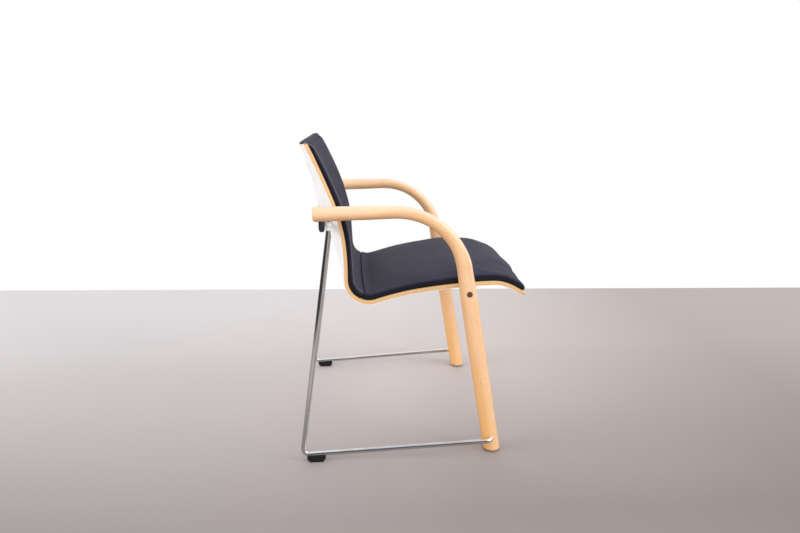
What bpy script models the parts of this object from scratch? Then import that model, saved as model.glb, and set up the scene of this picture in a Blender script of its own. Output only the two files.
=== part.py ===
"""Stacking visitor chair: two bentwood arm-legs, two bright steel side rods, two crossbars,
a moulded plywood shell and two cloth-covered pads.

Metres, +Z up. The sitter faces -Y and the chair is symmetric about X = 0. The origin lies on the
floor, under the middle of the chair's bounding box. "right" is the sitter's right, at -X.
"""

import functools
import math

import bmesh
import bpy
from mathutils import Matrix, Vector

# Clearances and overruns
FIT_GAP = 0.0003  # between faces that touch on the real chair
PAD_GAP = 0.0005  # between a pad and the shell under it
CUT_OVERRUN = 0.004  # how far a cutter runs past the face it enters
NORMAL_STEP = 0.0005  # step used to measure the shell's slope
MERGE = 0.00001  # points this close become one

# Bentwood arm-legs, in the side view: floor, up the leg, round the bend, back along the arm
SHELL_SIDE_GAP = 0.0235  # between the shell's side and a leg
ARM_REAR_REACH = 0.0201  # from the rear bar's end to the arm's rear end
ARM_REAR_HEIGHT = 0.6259  # of the centre line at the arm's rear end
ARM_RISE = 1.1  # degrees, the arm climbs towards the front
FOOT_Y = -0.2047  # where the leg's centre line meets the floor
LEG_LEAN = 10.2  # degrees from upright, the leg's foot stands forward
BEND_RADIUS = 0.170
LEG_RADIUS = 0.0215
ARM_END_ROUND = 0.006
FOOT_ROUND = 0.003
ARM_LEG_STATION = 0.050  # between rings along the straight runs
ARM_LEG_BEND_STEPS = 12
ARM_LEG_RESOLUTION = 8
# (share of the length from the arm's rear end, share of the leg's radius)
member_taper_shares = (
    (0.0, 0.82),
    (0.11, 0.755),
    (0.21, 0.70),
    (0.28, 0.67),
    (0.37, 0.735),
    (0.45, 0.88),
    (0.54, 1.0),
    (1.0, 1.0),
)

# (shares of the rear end's rounding at which the member has a ring)
end_round_shares = (0.13, 0.5, 1.0)

# Bright steel side rods
ROD_RADIUS = 0.006
ROD_SPLAY = 0.023  # outwards from the arm's plane, at the rear bend
RAIL_SPLAY = 0.033  # the same at the rail's front end
ROD_TOP_STEP = 0.0185  # from the rear bar's end forward to the rod's top
ROD_BEND_REACH = 0.0623  # from the rear bar's end back to where the leg's line meets the rail's
RAIL_REAR_HEIGHT = 0.0170  # of the rail's centre line, under the bend
RAIL_FRONT_HEIGHT = 0.0415  # of the rail's centre line, at the leg
ROD_BEND_RADIUS = 0.016
ROD_CURL_RADIUS = 0.022
ROD_CURL_ANGLE = 65.0  # degrees that the rail turns inwards before it enters the leg
ROD_INSERT = 0.016  # length of rod inside the leg
ROD_SOCKET = 0.014  # length of rod inside the arm
ROD_BEND_STEPS = 7
ROD_RESOLUTION = 4

# Turned collars between the rods and the arms
COLLAR_RADIUS = 0.0080
COLLAR_WAIST = 0.0068
COLLAR_LENGTH = 0.021
# Shares of half the collar's length at which its profile turns, from the arm down
collar_turn_shares = (0.70, 0.36, -0.10, -0.66)

# Glides
GLIDE_STEP = 0.0348  # from the rod's bend forward to the glide's middle
GLIDE_LENGTH = 0.046
GLIDE_BASE_LENGTH = 0.033
GLIDE_WIDTH = 0.018
GLIDE_WALL_UP = 0.0035  # how far the glide's cradle climbs the rod from its underside
GLIDE_EDGE = 0.0012
GLIDE_RAKE = 0.55  # share of the glide's height at which its ends turn in to the base
PEG_RADIUS = 0.0022
PEG_LENGTH = 0.0060
FOOT_GLIDE_RADIUS = 0.0150
FOOT_GLIDE_HEIGHT = 0.0042
NAIL_RADIUS = 0.0016
NAIL_LENGTH = 0.018
# (share of the foot glide's radius, share of its height), from its top edge to its flat base
foot_glide_shares = (
    (1.0, 1.0),
    (1.0, 0.55),
    (0.88, 0.16),
    (0.70, 0.0),
)

# Crossbars, both of solid bar
FRONT_BAR_RADIUS = 0.0060
FRONT_BAR_HEIGHT = 0.4315  # of its ends, in the legs
FRONT_BAR_SOCKET = 0.012  # length of bar inside each leg
FRONT_BAR_LEVEL = 0.0040  # straight run between a leg and the crank
FRONT_BAR_CRANK = 0.0100  # how far across the crank reaches
FRONT_BAR_BEND_RADIUS = 0.0100
REAR_BAR_RADIUS = 0.0070
REAR_BAR_SIDE_GAP = 0.0371  # from the shell's rear face, at its side, to the bar's centre line
REAR_BAR_DROP = 0.0380  # from the arm's centre line to the bar's
REAR_BAR_SOCKET = 0.012
REAR_BAR_BEND_RADIUS = 0.0125
REAR_BAR_STRAIGHT = 0.095  # from the arm's centre line in to where the bar turns back
REAR_BAR_FLAT_X = 0.050  # where it is square to the back again
REAR_BAR_KNEE_RADIUS = 0.120
BAR_RESOLUTION = 4
BAR_BEND_STEPS = 6

# Leg bolts, threaded into the front bar's ends
BOLT_HEAD_RADIUS = 0.0070
BOLT_HEAD_DEPTH = 0.0050
BOLT_HEAD_SINK = 0.0006  # below the leg's outer face
BOLT_SHANK_RADIUS = 0.0030
BOLT_SOCKET_RADIUS = 0.0028
BOLT_SOCKET_DEPTH = 0.0028
BOLT_BITE = 0.0180  # length of shank inside the bar

# Moulded shell: the side view of its ply's mid-plane, as arcs from the front tip to the top edge
SHELL_WIDTH = 0.430
SHELL_FRONT_Y = -0.2845
SHELL_FRONT_Z = 0.4047
SHELL_FRONT_HEADING = 39.3  # degrees above level, going back
LIP_LENGTH = 0.0597
LIP_TURN = -19.5
ROLL_LENGTH = 0.0336
ROLL_TURN = -21.5
SEAT_LENGTH = 0.1744
SEAT_TURN = -6.3
FALL_LENGTH = 0.1231
FALL_TURN = -9.9
BIGHT_LENGTH = 0.1089
BIGHT_TURN = 108.6
LOWER_BACK_LENGTH = 0.0486
LOWER_BACK_TURN = -2.3
LUMBAR_LENGTH = 0.1600
LUMBAR_TURN = -20.1
UPPER_BACK_LENGTH = 0.1386
UPPER_BACK_TURN = -3.9
PLY_THICKNESS = 0.0088
LAMINATE_THICKNESS = 0.0008
SHELL_CORNER = 0.013
SHELL_BULGE = 0.048  # how far the back bows rearwards across its width, at the arms
SHELL_COLUMNS = 12
BACK_SHARE = 0.6  # share of the side view's length beyond which the shell is all back
ROW_STEP = 0.030
ROW_TURN = 12.0
CORNER_ROWS = 4
# (share of the side view's length from the front tip, share of the bulge)
shell_bulge_shares = (
    (0.0, 0.0),
    (0.48, 0.0),
    (0.58, 0.20),
    (0.70, 0.71),
    (0.81, 1.0),
    (0.91, 0.70),
    (1.0, 0.50),
)

# Pads
SEAT_PAD_THICKNESS = 0.0235
SEAT_PAD_CROWN = 0.009
SEAT_PAD_NOSE = 0.034
SEAT_PAD_FRONT = 0.0045  # behind the shell's front tip
BACK_PAD_THICKNESS = 0.0185
BACK_PAD_CROWN = 0.004
BACK_PAD_NOSE = 0.026
BACK_PAD_TOP = 0.0035  # below the shell's top edge
PAD_MEET = 0.430  # along the shell's side view, where the pads meet
PAD_MEET_GAP = 0.0008
PAD_SIDE_INSET = 0.0012
PAD_DRAWN_IN = 0.0022
PAD_MEET_ROLL = 0.0016  # how far each pad's edge rolls back from the line where they meet
SEAT_PAD_RIDGE = 0.0150  # how far the side rolls in, from its widest to the ridge
BACK_PAD_RIDGE = 0.0045
PAD_CORNER = 0.012
PAD_FRONT_CORNER = 0.036  # of the ridge, in plan, at the seat's front and the back's top
PAD_EASE = 0.060  # along the pad, over which its rows give way to a rolled end
HOOD_HEIGHT = 0.0030  # of the cloth folded over the shell's top edge
HOOD_REACH = 0.012  # how far the fold runs down inside the pad
HOOD_SIDE = 0.0045  # from the shell's side edge to the fold's end
HOOD_CREST = 0.30  # share of the pad's thickness at which the fold meets the pad's face
HOOD_SKIRT = 0.08  # the same, for the fold's underside inside the pad
# (share of the fold's height, share of the way from the ply's middle to the shell's rear face)
hood_back_shares = (
    (0.0, 1.0),
    (0.6, 1.0),
    (0.92, 0.6),
    (1.0, 0.0),
)
HOOD_FRONT = 0.85  # share of the fold's height over the ply's front face
# (share of the pad's thickness, of the base's tuck, of the ridge's roll, of an end's nose)
seat_wall_shares = (
    (0.0, 1.0, 0.0, 0.0),
    (0.20, 0.30, 0.01, 0.03),
    (0.55, 0.0, 0.12, 0.17),
    (0.84, 0.0, 0.42, 0.46),
    (1.0, 0.0, 1.0, 1.0),
)
back_wall_shares = (
    (0.0, 1.0, 0.0, 0.0),
    (0.20, 0.30, 0.0, 0.03),
    (0.55, 0.0, 0.0, 0.17),
    (0.84, 0.0, 0.16, 0.46),
    (1.0, 0.0, 1.0, 1.0),
)
# (share of the pad's length from its front or lower end, share of its crown)
seat_crown_shares = (
    (0.0, 0.80),
    (0.20, 1.0),
    (0.75, 0.60),
    (1.0, 0.0),
)
back_crown_shares = (
    (0.0, 0.0),
    (0.25, 1.0),
    (0.80, 1.0),
    (1.0, 0.30),
)
# (share of the pad's length from its front or lower end, share of its thickness)
seat_pad_shares = (
    (0.0, 0.84),
    (0.10, 0.87),
    (0.17, 0.89),
    (0.24, 0.96),
    (0.31, 1.02),
    (0.38, 1.05),
    (0.45, 1.01),
    (0.54, 0.93),
    (0.66, 0.875),
    (0.78, 0.865),
    (0.90, 0.88),
    (1.0, 0.97),
)
back_pad_shares = (
    (0.0, 1.0),
    (0.10, 0.95),
    (0.20, 0.77),
    (0.28, 0.73),
    (0.46, 0.78),
    (0.54, 0.80),
    (0.62, 0.85),
    (0.70, 0.81),
    (0.78, 0.76),
    (0.87, 0.69),
    (1.0, 0.64),
)

# Clips that tie the shell to the bars, and their screws
FRONT_CLIP_INSET = 0.065  # from the shell's side to a clip's middle
CLIP_WIDTH = 0.028
CLIP_GAP = 0.0007  # between a flat clip and the curved shell
CLIP_BASE = 0.0024  # plastic between the bar and the shell
CLIP_WALL = 0.0021
CLIP_TAIL = 0.018  # tail beyond the loop
CLIP_TAIL_THICKNESS = 0.0034
CLIP_EDGE = 0.0006
SCREW_SPACING = 0.015
SCREW_HEAD_RADIUS = 0.0038
SCREW_HEAD_HEIGHT = 0.0024
SCREW_SHANK_RADIUS = 0.0018
SCREW_BITE = 0.0070  # length of shank inside the ply
# (share of the head's radius, share of its height), from its crown to its rim
screw_head_shares = (
    (0.0, 1.0),
    (0.62, 0.86),
    (1.0, 0.35),
    (1.0, 0.0),
)

ROUND_SIDES = 20
SMALL_SIDES = 12
SMOOTH_ANGLE = 35.0
EASE_ANGLE = 40.0
HALVINGS = 40  # of the span in which a place along the shell is searched for

# Worked out from the sizes above
HALF_WIDTH = SHELL_WIDTH / 2
ARM_X = HALF_WIDTH + SHELL_SIDE_GAP + LEG_RADIUS
SHELL_ARCS = (
    (LIP_LENGTH, LIP_TURN),
    (ROLL_LENGTH, ROLL_TURN),
    (SEAT_LENGTH, SEAT_TURN),
    (FALL_LENGTH, FALL_TURN),
    (BIGHT_LENGTH, BIGHT_TURN),
    (LOWER_BACK_LENGTH, LOWER_BACK_TURN),
    (LUMBAR_LENGTH, LUMBAR_TURN),
    (UPPER_BACK_LENGTH, UPPER_BACK_TURN),
)
SHELL_RUN = sum(length for length, turn in SHELL_ARCS)


def clear_scene():
    """Empty the file of the objects it opened with."""
    for item in list(bpy.data.objects):
        bpy.data.objects.remove(item, do_unlink=True)


def new_collection(name):
    """A collection linked to the scene."""
    group = bpy.data.collections.new(name)
    bpy.context.scene.collection.children.link(group)
    return group


def new_material(name, colour, roughness, metallic):
    """A plain Principled material."""
    made = bpy.data.materials.new(name)
    made.use_nodes = True
    shader = made.node_tree.nodes["Principled BSDF"]
    shader.inputs["Base Color"].default_value = (*colour, 1.0)
    shader.inputs["Roughness"].default_value = roughness
    shader.inputs["Metallic"].default_value = metallic
    made.diffuse_color = (*colour, 1.0)
    return made


class Workshop:
    """Holds the chair's collections and materials, and places finished pieces in them."""

    def __init__(self):
        self.parts = new_collection("visitor_chair")
        self.cutters = new_collection("cutters")
        self.beech = new_material("beech", (0.78, 0.50, 0.24), 0.42, 0.0)
        self.ply = new_material("beech_ply", (0.76, 0.48, 0.25), 0.50, 0.0)
        self.laminate = new_material("pale_laminate", (0.90, 0.87, 0.85), 0.35, 0.0)
        self.chrome = new_material("chrome", (0.62, 0.62, 0.63), 0.12, 1.0)
        self.black_steel = new_material("black_steel", (0.03, 0.03, 0.035), 0.40, 0.2)
        self.zinc = new_material("zinc_steel", (0.55, 0.55, 0.56), 0.35, 1.0)
        self.plastic = new_material("black_plastic", (0.02, 0.02, 0.022), 0.55, 0.0)
        self.cloth = new_material("charcoal_cloth", (0.055, 0.052, 0.066), 0.92, 0.0)

    def part(self, item, material):
        """Put a piece in the chair's collection with its material."""
        self._move(item, self.parts)
        item.data.materials.clear()
        item.data.materials.append(material)
        return item

    def cutter(self, item):
        """Put a cutting body aside, out of the render."""
        self._move(item, self.cutters)
        item.hide_render = True
        item.display_type = "WIRE"
        return item

    @staticmethod
    def _move(item, group):
        for owner in list(item.users_collection):
            owner.objects.unlink(item)
        group.objects.link(item)


def blend(table, share):
    """Value at a share, eased between the rows of a table of (share, value)."""
    if share <= table[0][0]:
        return table[0][1]
    for (low, first), (high, second) in zip(table, table[1:]):
        if share <= high:
            part = (share - low) / (high - low)
            eased = part * part * (3 - 2 * part)
            return first + (second - first) * eased
    return table[-1][1]


def arc_between(centre, start, end, steps):
    """Points of the arc about a centre from one point to another, ends included."""
    first = start - centre
    last = end - centre
    angle = first.angle(last)
    axis = first.cross(last).normalized()
    turn = [Matrix.Rotation(angle * i / steps, 3, axis) for i in range(steps + 1)]
    return [centre + spin @ first for spin in turn]


def filleted(corners, radii, steps):
    """A path through straight runs whose inner corners are rounded by arcs."""
    path = [corners[0]]
    for i in range(1, len(corners) - 1):
        back = (corners[i - 1] - corners[i]).normalized()
        ahead = (corners[i + 1] - corners[i]).normalized()
        half = back.angle(ahead) / 2
        radius = radii[i - 1]
        reach = radius / math.tan(half)
        middle = (back + ahead).normalized() * (radius / math.sin(half))
        path += arc_between(
            corners[i] + middle, corners[i] + back * reach, corners[i] + ahead * reach, steps
        )
    path.append(corners[-1])
    return path


def resampled(path, spacing):
    """The same path with extra points, so that no run is longer than the spacing."""
    points = [path[0]]
    for start, end in zip(path, path[1:]):
        count = max(1, math.ceil((end - start).length / spacing))
        points += [start.lerp(end, i / count) for i in range(1, count + 1)]
    return points


def tube(name, points, radius, resolution, shares=None):
    """A round bar along points, made as a curve; shares scale its radius point by point."""
    data = bpy.data.curves.new(name, "CURVE")
    data.dimensions = "3D"
    data.bevel_depth = radius
    data.bevel_resolution = resolution
    data.use_fill_caps = True
    spline = data.splines.new("POLY")
    spline.points.add(len(points) - 1)
    for i, place in enumerate(points):
        spline.points[i].co = (*place, 1.0)
        spline.points[i].radius = shares[i] if shares else 1.0
    item = bpy.data.objects.new(name, data)
    bpy.context.scene.collection.objects.link(item)
    return item


def as_mesh(curve):
    """The curve's body as a closed mesh object of the same name."""
    bpy.context.view_layer.update()
    seen = curve.evaluated_get(bpy.context.evaluated_depsgraph_get())
    mesh = bpy.data.meshes.new_from_object(seen)
    body = bmesh.new()
    body.from_mesh(mesh)
    bmesh.ops.remove_doubles(body, verts=body.verts, dist=MERGE)
    bmesh.ops.recalc_face_normals(body, faces=body.faces)
    body.to_mesh(mesh)
    body.free()
    name = curve.name
    place = curve.matrix_world.copy()
    bpy.data.objects.remove(curve, do_unlink=True)
    item = bpy.data.objects.new(name, mesh)
    item.matrix_world = place
    bpy.context.scene.collection.objects.link(item)
    return item


def object_from(name, body):
    """A bmesh turned into an object."""
    mesh = bpy.data.meshes.new(name)
    body.to_mesh(mesh)
    body.free()
    item = bpy.data.objects.new(name, mesh)
    bpy.context.scene.collection.objects.link(item)
    return item


def along(start, end):
    """Matrix that carries +Z onto the run from start to end, with its origin halfway."""
    run = end - start
    spin = run.to_track_quat("Z", "Y").to_matrix().to_4x4()
    return Matrix.Translation((start + end) / 2) @ spin


def round_bar(name, start, end, radius, end_radius=None, sides=ROUND_SIDES):
    """A cylinder or cone between two points."""
    body = bmesh.new()
    bmesh.ops.create_cone(
        body,
        cap_ends=True,
        segments=sides,
        radius1=radius,
        radius2=radius if end_radius is None else end_radius,
        depth=(end - start).length,
        matrix=along(start, end),
    )
    return object_from(name, body)


def turned(name, profile, place, sides=ROUND_SIDES):
    """A body of revolution: (radius, height) pairs from the top of its axis down to the foot."""
    body = bmesh.new()
    rim = [body.verts.new((radius, 0.0, height)) for radius, height in profile]
    for first, second in zip(rim, rim[1:]):
        body.edges.new((first, second))
    item = object_from(name, body)
    item.matrix_world = place
    screw = item.modifiers.new("turn", "SCREW")
    screw.axis = "Z"
    screw.angle = math.tau
    screw.steps = sides
    screw.render_steps = sides
    screw.use_merge_vertices = True
    screw.merge_threshold = MERGE
    return item


def extruded(name, outlines, width, place):
    """A body whose section is drawn flat, its first outline outside and any others holes."""
    data = bpy.data.curves.new(name, "CURVE")
    data.dimensions = "2D"
    data.fill_mode = "BOTH"
    data.extrude = width / 2
    for outline in outlines:
        spline = data.splines.new("POLY")
        spline.points.add(len(outline) - 1)
        for point, (across, up) in zip(spline.points, outline):
            point.co = (across, up, 0.0, 1.0)
        spline.use_cyclic_u = True
    curve = bpy.data.objects.new(name, data)
    curve.matrix_world = place
    bpy.context.scene.collection.objects.link(curve)
    return as_mesh(curve)


def ease(item, width, segments=2):
    """Round the sharp edges of a body."""
    bevel = item.modifiers.new("eased_edges", "BEVEL")
    bevel.width = width
    bevel.segments = segments
    bevel.limit_method = "ANGLE"
    bevel.angle_limit = math.radians(EASE_ANGLE)
    return item


def combine(item, other, operation):
    """Cut one body by another, or join it on."""
    step = item.modifiers.new(other.name, "BOOLEAN")
    step.operation = operation
    step.object = other
    step.solver = "EXACT"
    return item


def smooth(item):
    """Shade a round body smooth, with its real edges kept sharp."""
    item.data.shade_smooth()
    if item.type == "MESH":
        item.data.set_sharp_from_angle(angle=math.radians(SMOOTH_ANGLE))
    return item


def side_name(base, side):
    """The piece's name on the sitter's right (-1) or left (+1)."""
    return f"{base}_{'right' if side < 0 else 'left'}"


# The arm-leg's side view


def leg_y(height):
    """Where the leg's centre line is at a height."""
    return FOOT_Y + math.tan(math.radians(LEG_LEAN)) * height


def arm_rear_y():
    """The arm's rear end lies a little beyond the rear bar's end."""
    return rear_bar_y() + ARM_REAR_REACH


def arm_height(y):
    """Height of the arm's centre line."""
    return ARM_REAR_HEIGHT + math.tan(math.radians(ARM_RISE)) * (arm_rear_y() - y)


def bend_corner():
    """Where the leg's and the arm's centre lines would cross, as (y, z)."""
    lean = math.tan(math.radians(LEG_LEAN))
    rise = math.tan(math.radians(ARM_RISE))
    height = (ARM_REAR_HEIGHT + rise * (arm_rear_y() - FOOT_Y)) / (1 + rise * lean)
    return leg_y(height), height


def arm_leg_path(side):
    """Centre line from the arm's rear end to a little below the floor."""
    x = side * ARM_X
    corner_y, corner_z = bend_corner()
    below = -LEG_RADIUS
    corners = [
        Vector((x, arm_rear_y(), ARM_REAR_HEIGHT)),
        Vector((x, corner_y, corner_z)),
        Vector((x, leg_y(below), below)),
    ]
    path = filleted(corners, [BEND_RADIUS], ARM_LEG_BEND_STEPS)
    rounding = [
        path[0].lerp(path[1], ARM_END_ROUND * share / (path[1] - path[0]).length)
        for share in end_round_shares
    ]
    return [path[0]] + rounding + resampled(path[1:], ARM_LEG_STATION)


def distances(points):
    """Distance of each point along a path."""
    run = [0.0]
    for first, second in zip(points, points[1:]):
        run.append(run[-1] + (second - first).length)
    return run


def member_share(distance, length):
    """Radius of the arm-leg as a share of the leg's, with its rear end rounded over."""
    share = blend(member_taper_shares, distance / length)
    if distance < ARM_END_ROUND:
        reach = ARM_END_ROUND - distance
        share -= (ARM_END_ROUND - math.sqrt(ARM_END_ROUND**2 - reach**2)) / LEG_RADIUS
    return share


def arm_radius(y):
    """Radius of the arm where it lies over a place on the Y axis."""
    points = arm_leg_path(-1)
    length = distances(points)[-1]
    return LEG_RADIUS * member_share(arm_rear_y() - y, length)


def arm_leg(shop, side, cutters):
    """One bentwood member: armrest, bend and front leg, with its bores."""
    points = arm_leg_path(side)
    run = distances(points)
    shares = [member_share(distance, run[-1]) for distance in run]
    curve = tube(side_name("arm_leg", side), points, LEG_RADIUS, ARM_LEG_RESOLUTION, shares)
    item = as_mesh(curve)
    body = bmesh.new()
    body.from_mesh(item.data)
    cut = bmesh.ops.bisect_plane(
        body,
        geom=body.verts[:] + body.edges[:] + body.faces[:],
        plane_co=(0, 0, FOOT_GLIDE_HEIGHT + FIT_GAP),
        plane_no=(0, 0, 1),
        clear_inner=True,
    )
    rim = [part for part in cut["geom_cut"] if isinstance(part, bmesh.types.BMEdge)]
    bmesh.ops.contextual_create(body, geom=rim)
    bmesh.ops.bevel(
        body, geom=rim, offset=FOOT_ROUND, segments=2, affect="EDGES", clamp_overlap=True
    )
    bmesh.ops.recalc_face_normals(body, faces=body.faces)
    body.to_mesh(item.data)
    body.free()
    for cutter in cutters:
        combine(item, cutter, "DIFFERENCE")
    return shop.part(smooth(item), shop.beech)


# Side rods


def rod_corners(side):
    """Corner points of a side rod, from inside the arm to inside the leg."""
    arm_x = side * ARM_X
    rear_x = side * (ARM_X + ROD_SPLAY)
    front_x = side * (ARM_X + RAIL_SPLAY)
    top_y = rear_bar_y() - ROD_TOP_STEP
    top = Vector((arm_x, top_y, arm_height(top_y) - arm_radius(top_y)))
    bend = Vector((rear_x, rear_bar_y() + ROD_BEND_REACH, RAIL_REAR_HEIGHT))
    upper = top + (top - bend).normalized() * ROD_SOCKET
    angle = math.radians(ROD_CURL_ANGLE)
    reach = ROD_CURL_RADIUS * math.tan(angle / 2)
    leg_surface = side * (ARM_X + LEG_RADIUS)
    entry_y = leg_y(RAIL_FRONT_HEIGHT)
    inward = abs(front_x - leg_surface) / math.tan(angle)
    curl = Vector((front_x, entry_y + inward, RAIL_FRONT_HEIGHT))
    heading = Vector((-side * math.sin(angle), -math.cos(angle), 0.0))
    inside = abs(front_x - leg_surface) / math.sin(angle) + ROD_INSERT
    end = curl + heading * max(inside, reach)
    return [upper, bend, curl, end], top


def rod_path(side):
    """The rod's centre line with its bends."""
    corners, top = rod_corners(side)
    return filleted(corners, [ROD_BEND_RADIUS, ROD_CURL_RADIUS], ROD_BEND_STEPS)


def rod_cutter(shop, side):
    """The room that a side rod takes inside the arm-leg."""
    item = as_mesh(
        tube(side_name("rod_room", side), rod_path(side), ROD_RADIUS + FIT_GAP, ROD_RESOLUTION)
    )
    return shop.cutter(item)


def side_rod(shop, side, cutters):
    """Rear leg, floor rail and inward curl in one bent rod."""
    item = as_mesh(tube(side_name("side_rod", side), rod_path(side), ROD_RADIUS, ROD_RESOLUTION))
    for cutter in cutters:
        combine(item, cutter, "DIFFERENCE")
    return shop.part(smooth(item), shop.chrome)


def rod_collar(shop, side):
    """Turned collar round the rod's top, seated under the arm."""
    corners, top = rod_corners(side)
    axis = (corners[0] - corners[1]).normalized()
    seat = top - axis * (FIT_GAP + ROD_RADIUS * math.sin(axis.angle(Vector((0, 0, 1)))))
    foot = seat - axis * COLLAR_LENGTH
    bore = ROD_RADIUS + FIT_GAP
    half = COLLAR_LENGTH / 2
    neck, shoulder, hip, ankle = [half * share for share in collar_turn_shares]
    profile = [
        (bore, half),
        (COLLAR_WAIST, half),
        (COLLAR_WAIST, neck),
        (COLLAR_RADIUS, shoulder),
        (COLLAR_RADIUS, hip),
        (COLLAR_WAIST, ankle),
        (COLLAR_WAIST, -half),
        (bore, -half),
        (bore, half),
    ]
    item = turned(side_name("rod_collar", side), profile, along(foot, seat))
    return shop.part(smooth(item), shop.chrome)


# Glides


def rail_point(side, y):
    """The rail's centre line over a place on the Y axis."""
    corners, top = rod_corners(side)
    bend, curl = corners[1], corners[2]
    return bend.lerp(curl, (bend.y - y) / (bend.y - curl.y))


def glide_y():
    """Where the rear glides' middles are along the rails."""
    return rear_bar_y() + ROD_BEND_REACH - GLIDE_STEP


def peg_ends(side, spare):
    """The peg that holds a rear glide in its rail, from the glide's middle up."""
    centre = rail_point(side, glide_y())
    foot = Vector((centre.x, centre.y, (centre.z - ROD_RADIUS) / 2))
    head = Vector((centre.x, centre.y, centre.z - ROD_RADIUS + PEG_LENGTH + spare))
    return foot, head


def peg_cutter(shop, side):
    """The blind hole for the glide's peg, in the rail's underside."""
    foot, head = peg_ends(side, FIT_GAP)
    name = side_name("peg_hole", side)
    return shop.cutter(round_bar(name, foot, head, PEG_RADIUS + FIT_GAP, sides=SMALL_SIDES))


def rear_glide(shop, side):
    """Boat-shaped glide that cradles the rail and stands on the floor."""
    centre = rail_point(side, glide_y())
    height = centre.z - ROD_RADIUS + GLIDE_WALL_UP
    base, reach = GLIDE_BASE_LENGTH / 2, GLIDE_LENGTH / 2
    rake = height * GLIDE_RAKE
    outline = [
        (-base, 0.0),
        (base, 0.0),
        (reach, rake),
        (reach, height),
        (-reach, height),
        (-reach, rake),
    ]
    name = side_name("rear_glide", side)
    place = Matrix.Translation((centre.x, centre.y, 0.0)) @ upright_sheet()
    item = extruded(name, [outline], GLIDE_WIDTH, place)
    ease(item, GLIDE_EDGE)
    rear = rail_point(side, glide_y() + GLIDE_LENGTH)
    front = rail_point(side, glide_y() - GLIDE_LENGTH)
    groove = round_bar(
        side_name("glide_groove", side), rear, front, ROD_RADIUS + FIT_GAP, sides=24
    )
    combine(item, shop.cutter(groove), "DIFFERENCE")
    foot, head = peg_ends(side, 0.0)
    peg = round_bar(side_name("glide_peg", side), foot, head, PEG_RADIUS, sides=SMALL_SIDES)
    combine(item, shop.cutter(peg), "UNION")
    return shop.part(smooth(item), shop.plastic)


def upright_sheet():
    """Turns a flat outline drawn in XY into one that stands in the chair's side view."""
    return Matrix(((0, 0, 1, 0), (1, 0, 0, 0), (0, 1, 0, 0), (0, 0, 0, 1)))


def foot_place(side):
    """The middle of a wooden leg's foot, on the floor."""
    return Matrix.Translation((side * ARM_X, leg_y(FOOT_GLIDE_HEIGHT), 0.0))


def nail_cutter(shop, side):
    """The hole for a foot glide's nail."""
    base = foot_place(side).translation
    low = base + Vector((0, 0, FOOT_GLIDE_HEIGHT - CUT_OVERRUN))
    high = base + Vector((0, 0, FOOT_GLIDE_HEIGHT + NAIL_LENGTH + FIT_GAP))
    name = side_name("nail_hole", side)
    return shop.cutter(round_bar(name, low, high, NAIL_RADIUS + FIT_GAP, sides=SMALL_SIDES))


def foot_glide(shop, side):
    """Domed steel glide with its nail, under a wooden leg."""
    top = FOOT_GLIDE_HEIGHT
    profile = [
        (0.0, top + NAIL_LENGTH),
        (NAIL_RADIUS * 0.5, top + NAIL_LENGTH - NAIL_RADIUS),
        (NAIL_RADIUS, top + NAIL_LENGTH - NAIL_RADIUS * 3),
        (NAIL_RADIUS, top),
    ]
    profile += [(FOOT_GLIDE_RADIUS * out, top * up) for out, up in foot_glide_shares]
    profile.append((0.0, 0.0))
    item = turned(side_name("foot_glide", side), profile, foot_place(side))
    return shop.part(smooth(item), shop.zinc)


# Shell surface


def shell_profile(run):
    """Side view of the ply's mid-plane at a distance from the front tip: y, z and heading."""
    y, z = SHELL_FRONT_Y, SHELL_FRONT_Z
    heading = math.radians(SHELL_FRONT_HEADING)
    left = run
    for index, (length, turn) in enumerate(SHELL_ARCS):
        bend = math.radians(turn) / length
        last = index == len(SHELL_ARCS) - 1
        step = left if last else min(left, length)
        after = heading + bend * step
        if turn:
            y += (math.sin(after) - math.sin(heading)) / bend
            z += (math.cos(heading) - math.cos(after)) / bend
        else:
            y += math.cos(heading) * step
            z += math.sin(heading) * step
        heading = after
        left -= step
        if left <= 0:
            break
    return y, z, heading


def shell_point(run, x):
    """A point of the ply's mid-plane."""
    y, z, heading = shell_profile(run)
    bulge = SHELL_BULGE * blend(shell_bulge_shares, run / SHELL_RUN)
    bow = bulge * (1 - (x / HALF_WIDTH) ** 2)
    return Vector((x, y + math.sin(heading) * bow, z - math.cos(heading) * bow))


def shell_normal(run, x):
    """The mid-plane's normal, towards the sitter."""
    ahead = shell_point(run + NORMAL_STEP, x) - shell_point(run - NORMAL_STEP, x)
    across = shell_point(run, x + NORMAL_STEP) - shell_point(run, x - NORMAL_STEP)
    return across.cross(ahead).normalized()


def shell_offset(run, x, lift):
    """A point at a distance from the mid-plane, positive towards the sitter."""
    return shell_point(run, x) + shell_normal(run, x) * lift


def row_runs(start, end, corner):
    """Distances of the rows across the shell between two ends, closer at corners and bends."""
    turns = [math.pi / 2 * i / CORNER_ROWS for i in range(CORNER_ROWS + 1)]
    low = [start + corner * (1 - math.cos(turn)) for turn in turns]
    high = [start + end - run for run in reversed(low)]
    first, last = low[-1], high[0]
    inner = []
    base = 0.0
    for length, turn in SHELL_ARCS:
        count = max(math.ceil(length / ROW_STEP), math.ceil(abs(turn) / ROW_TURN))
        inner += [base + length * i / count for i in range(count)]
        base += length
    margin = ROW_STEP / 5
    inner = [run for run in inner if first + margin < run < last - margin]
    return low + inner + high


def row_half(run, start, end, half, corners):
    """Half width of a row, drawn in at the rounded corners of the two ends."""
    width = half
    for corner, inset in zip(corners, (run - start, end - run)):
        reach = corner - inset
        if reach > 0:
            width -= corner - math.sqrt(max(corner**2 - reach**2, 0.0))
    return width


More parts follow.
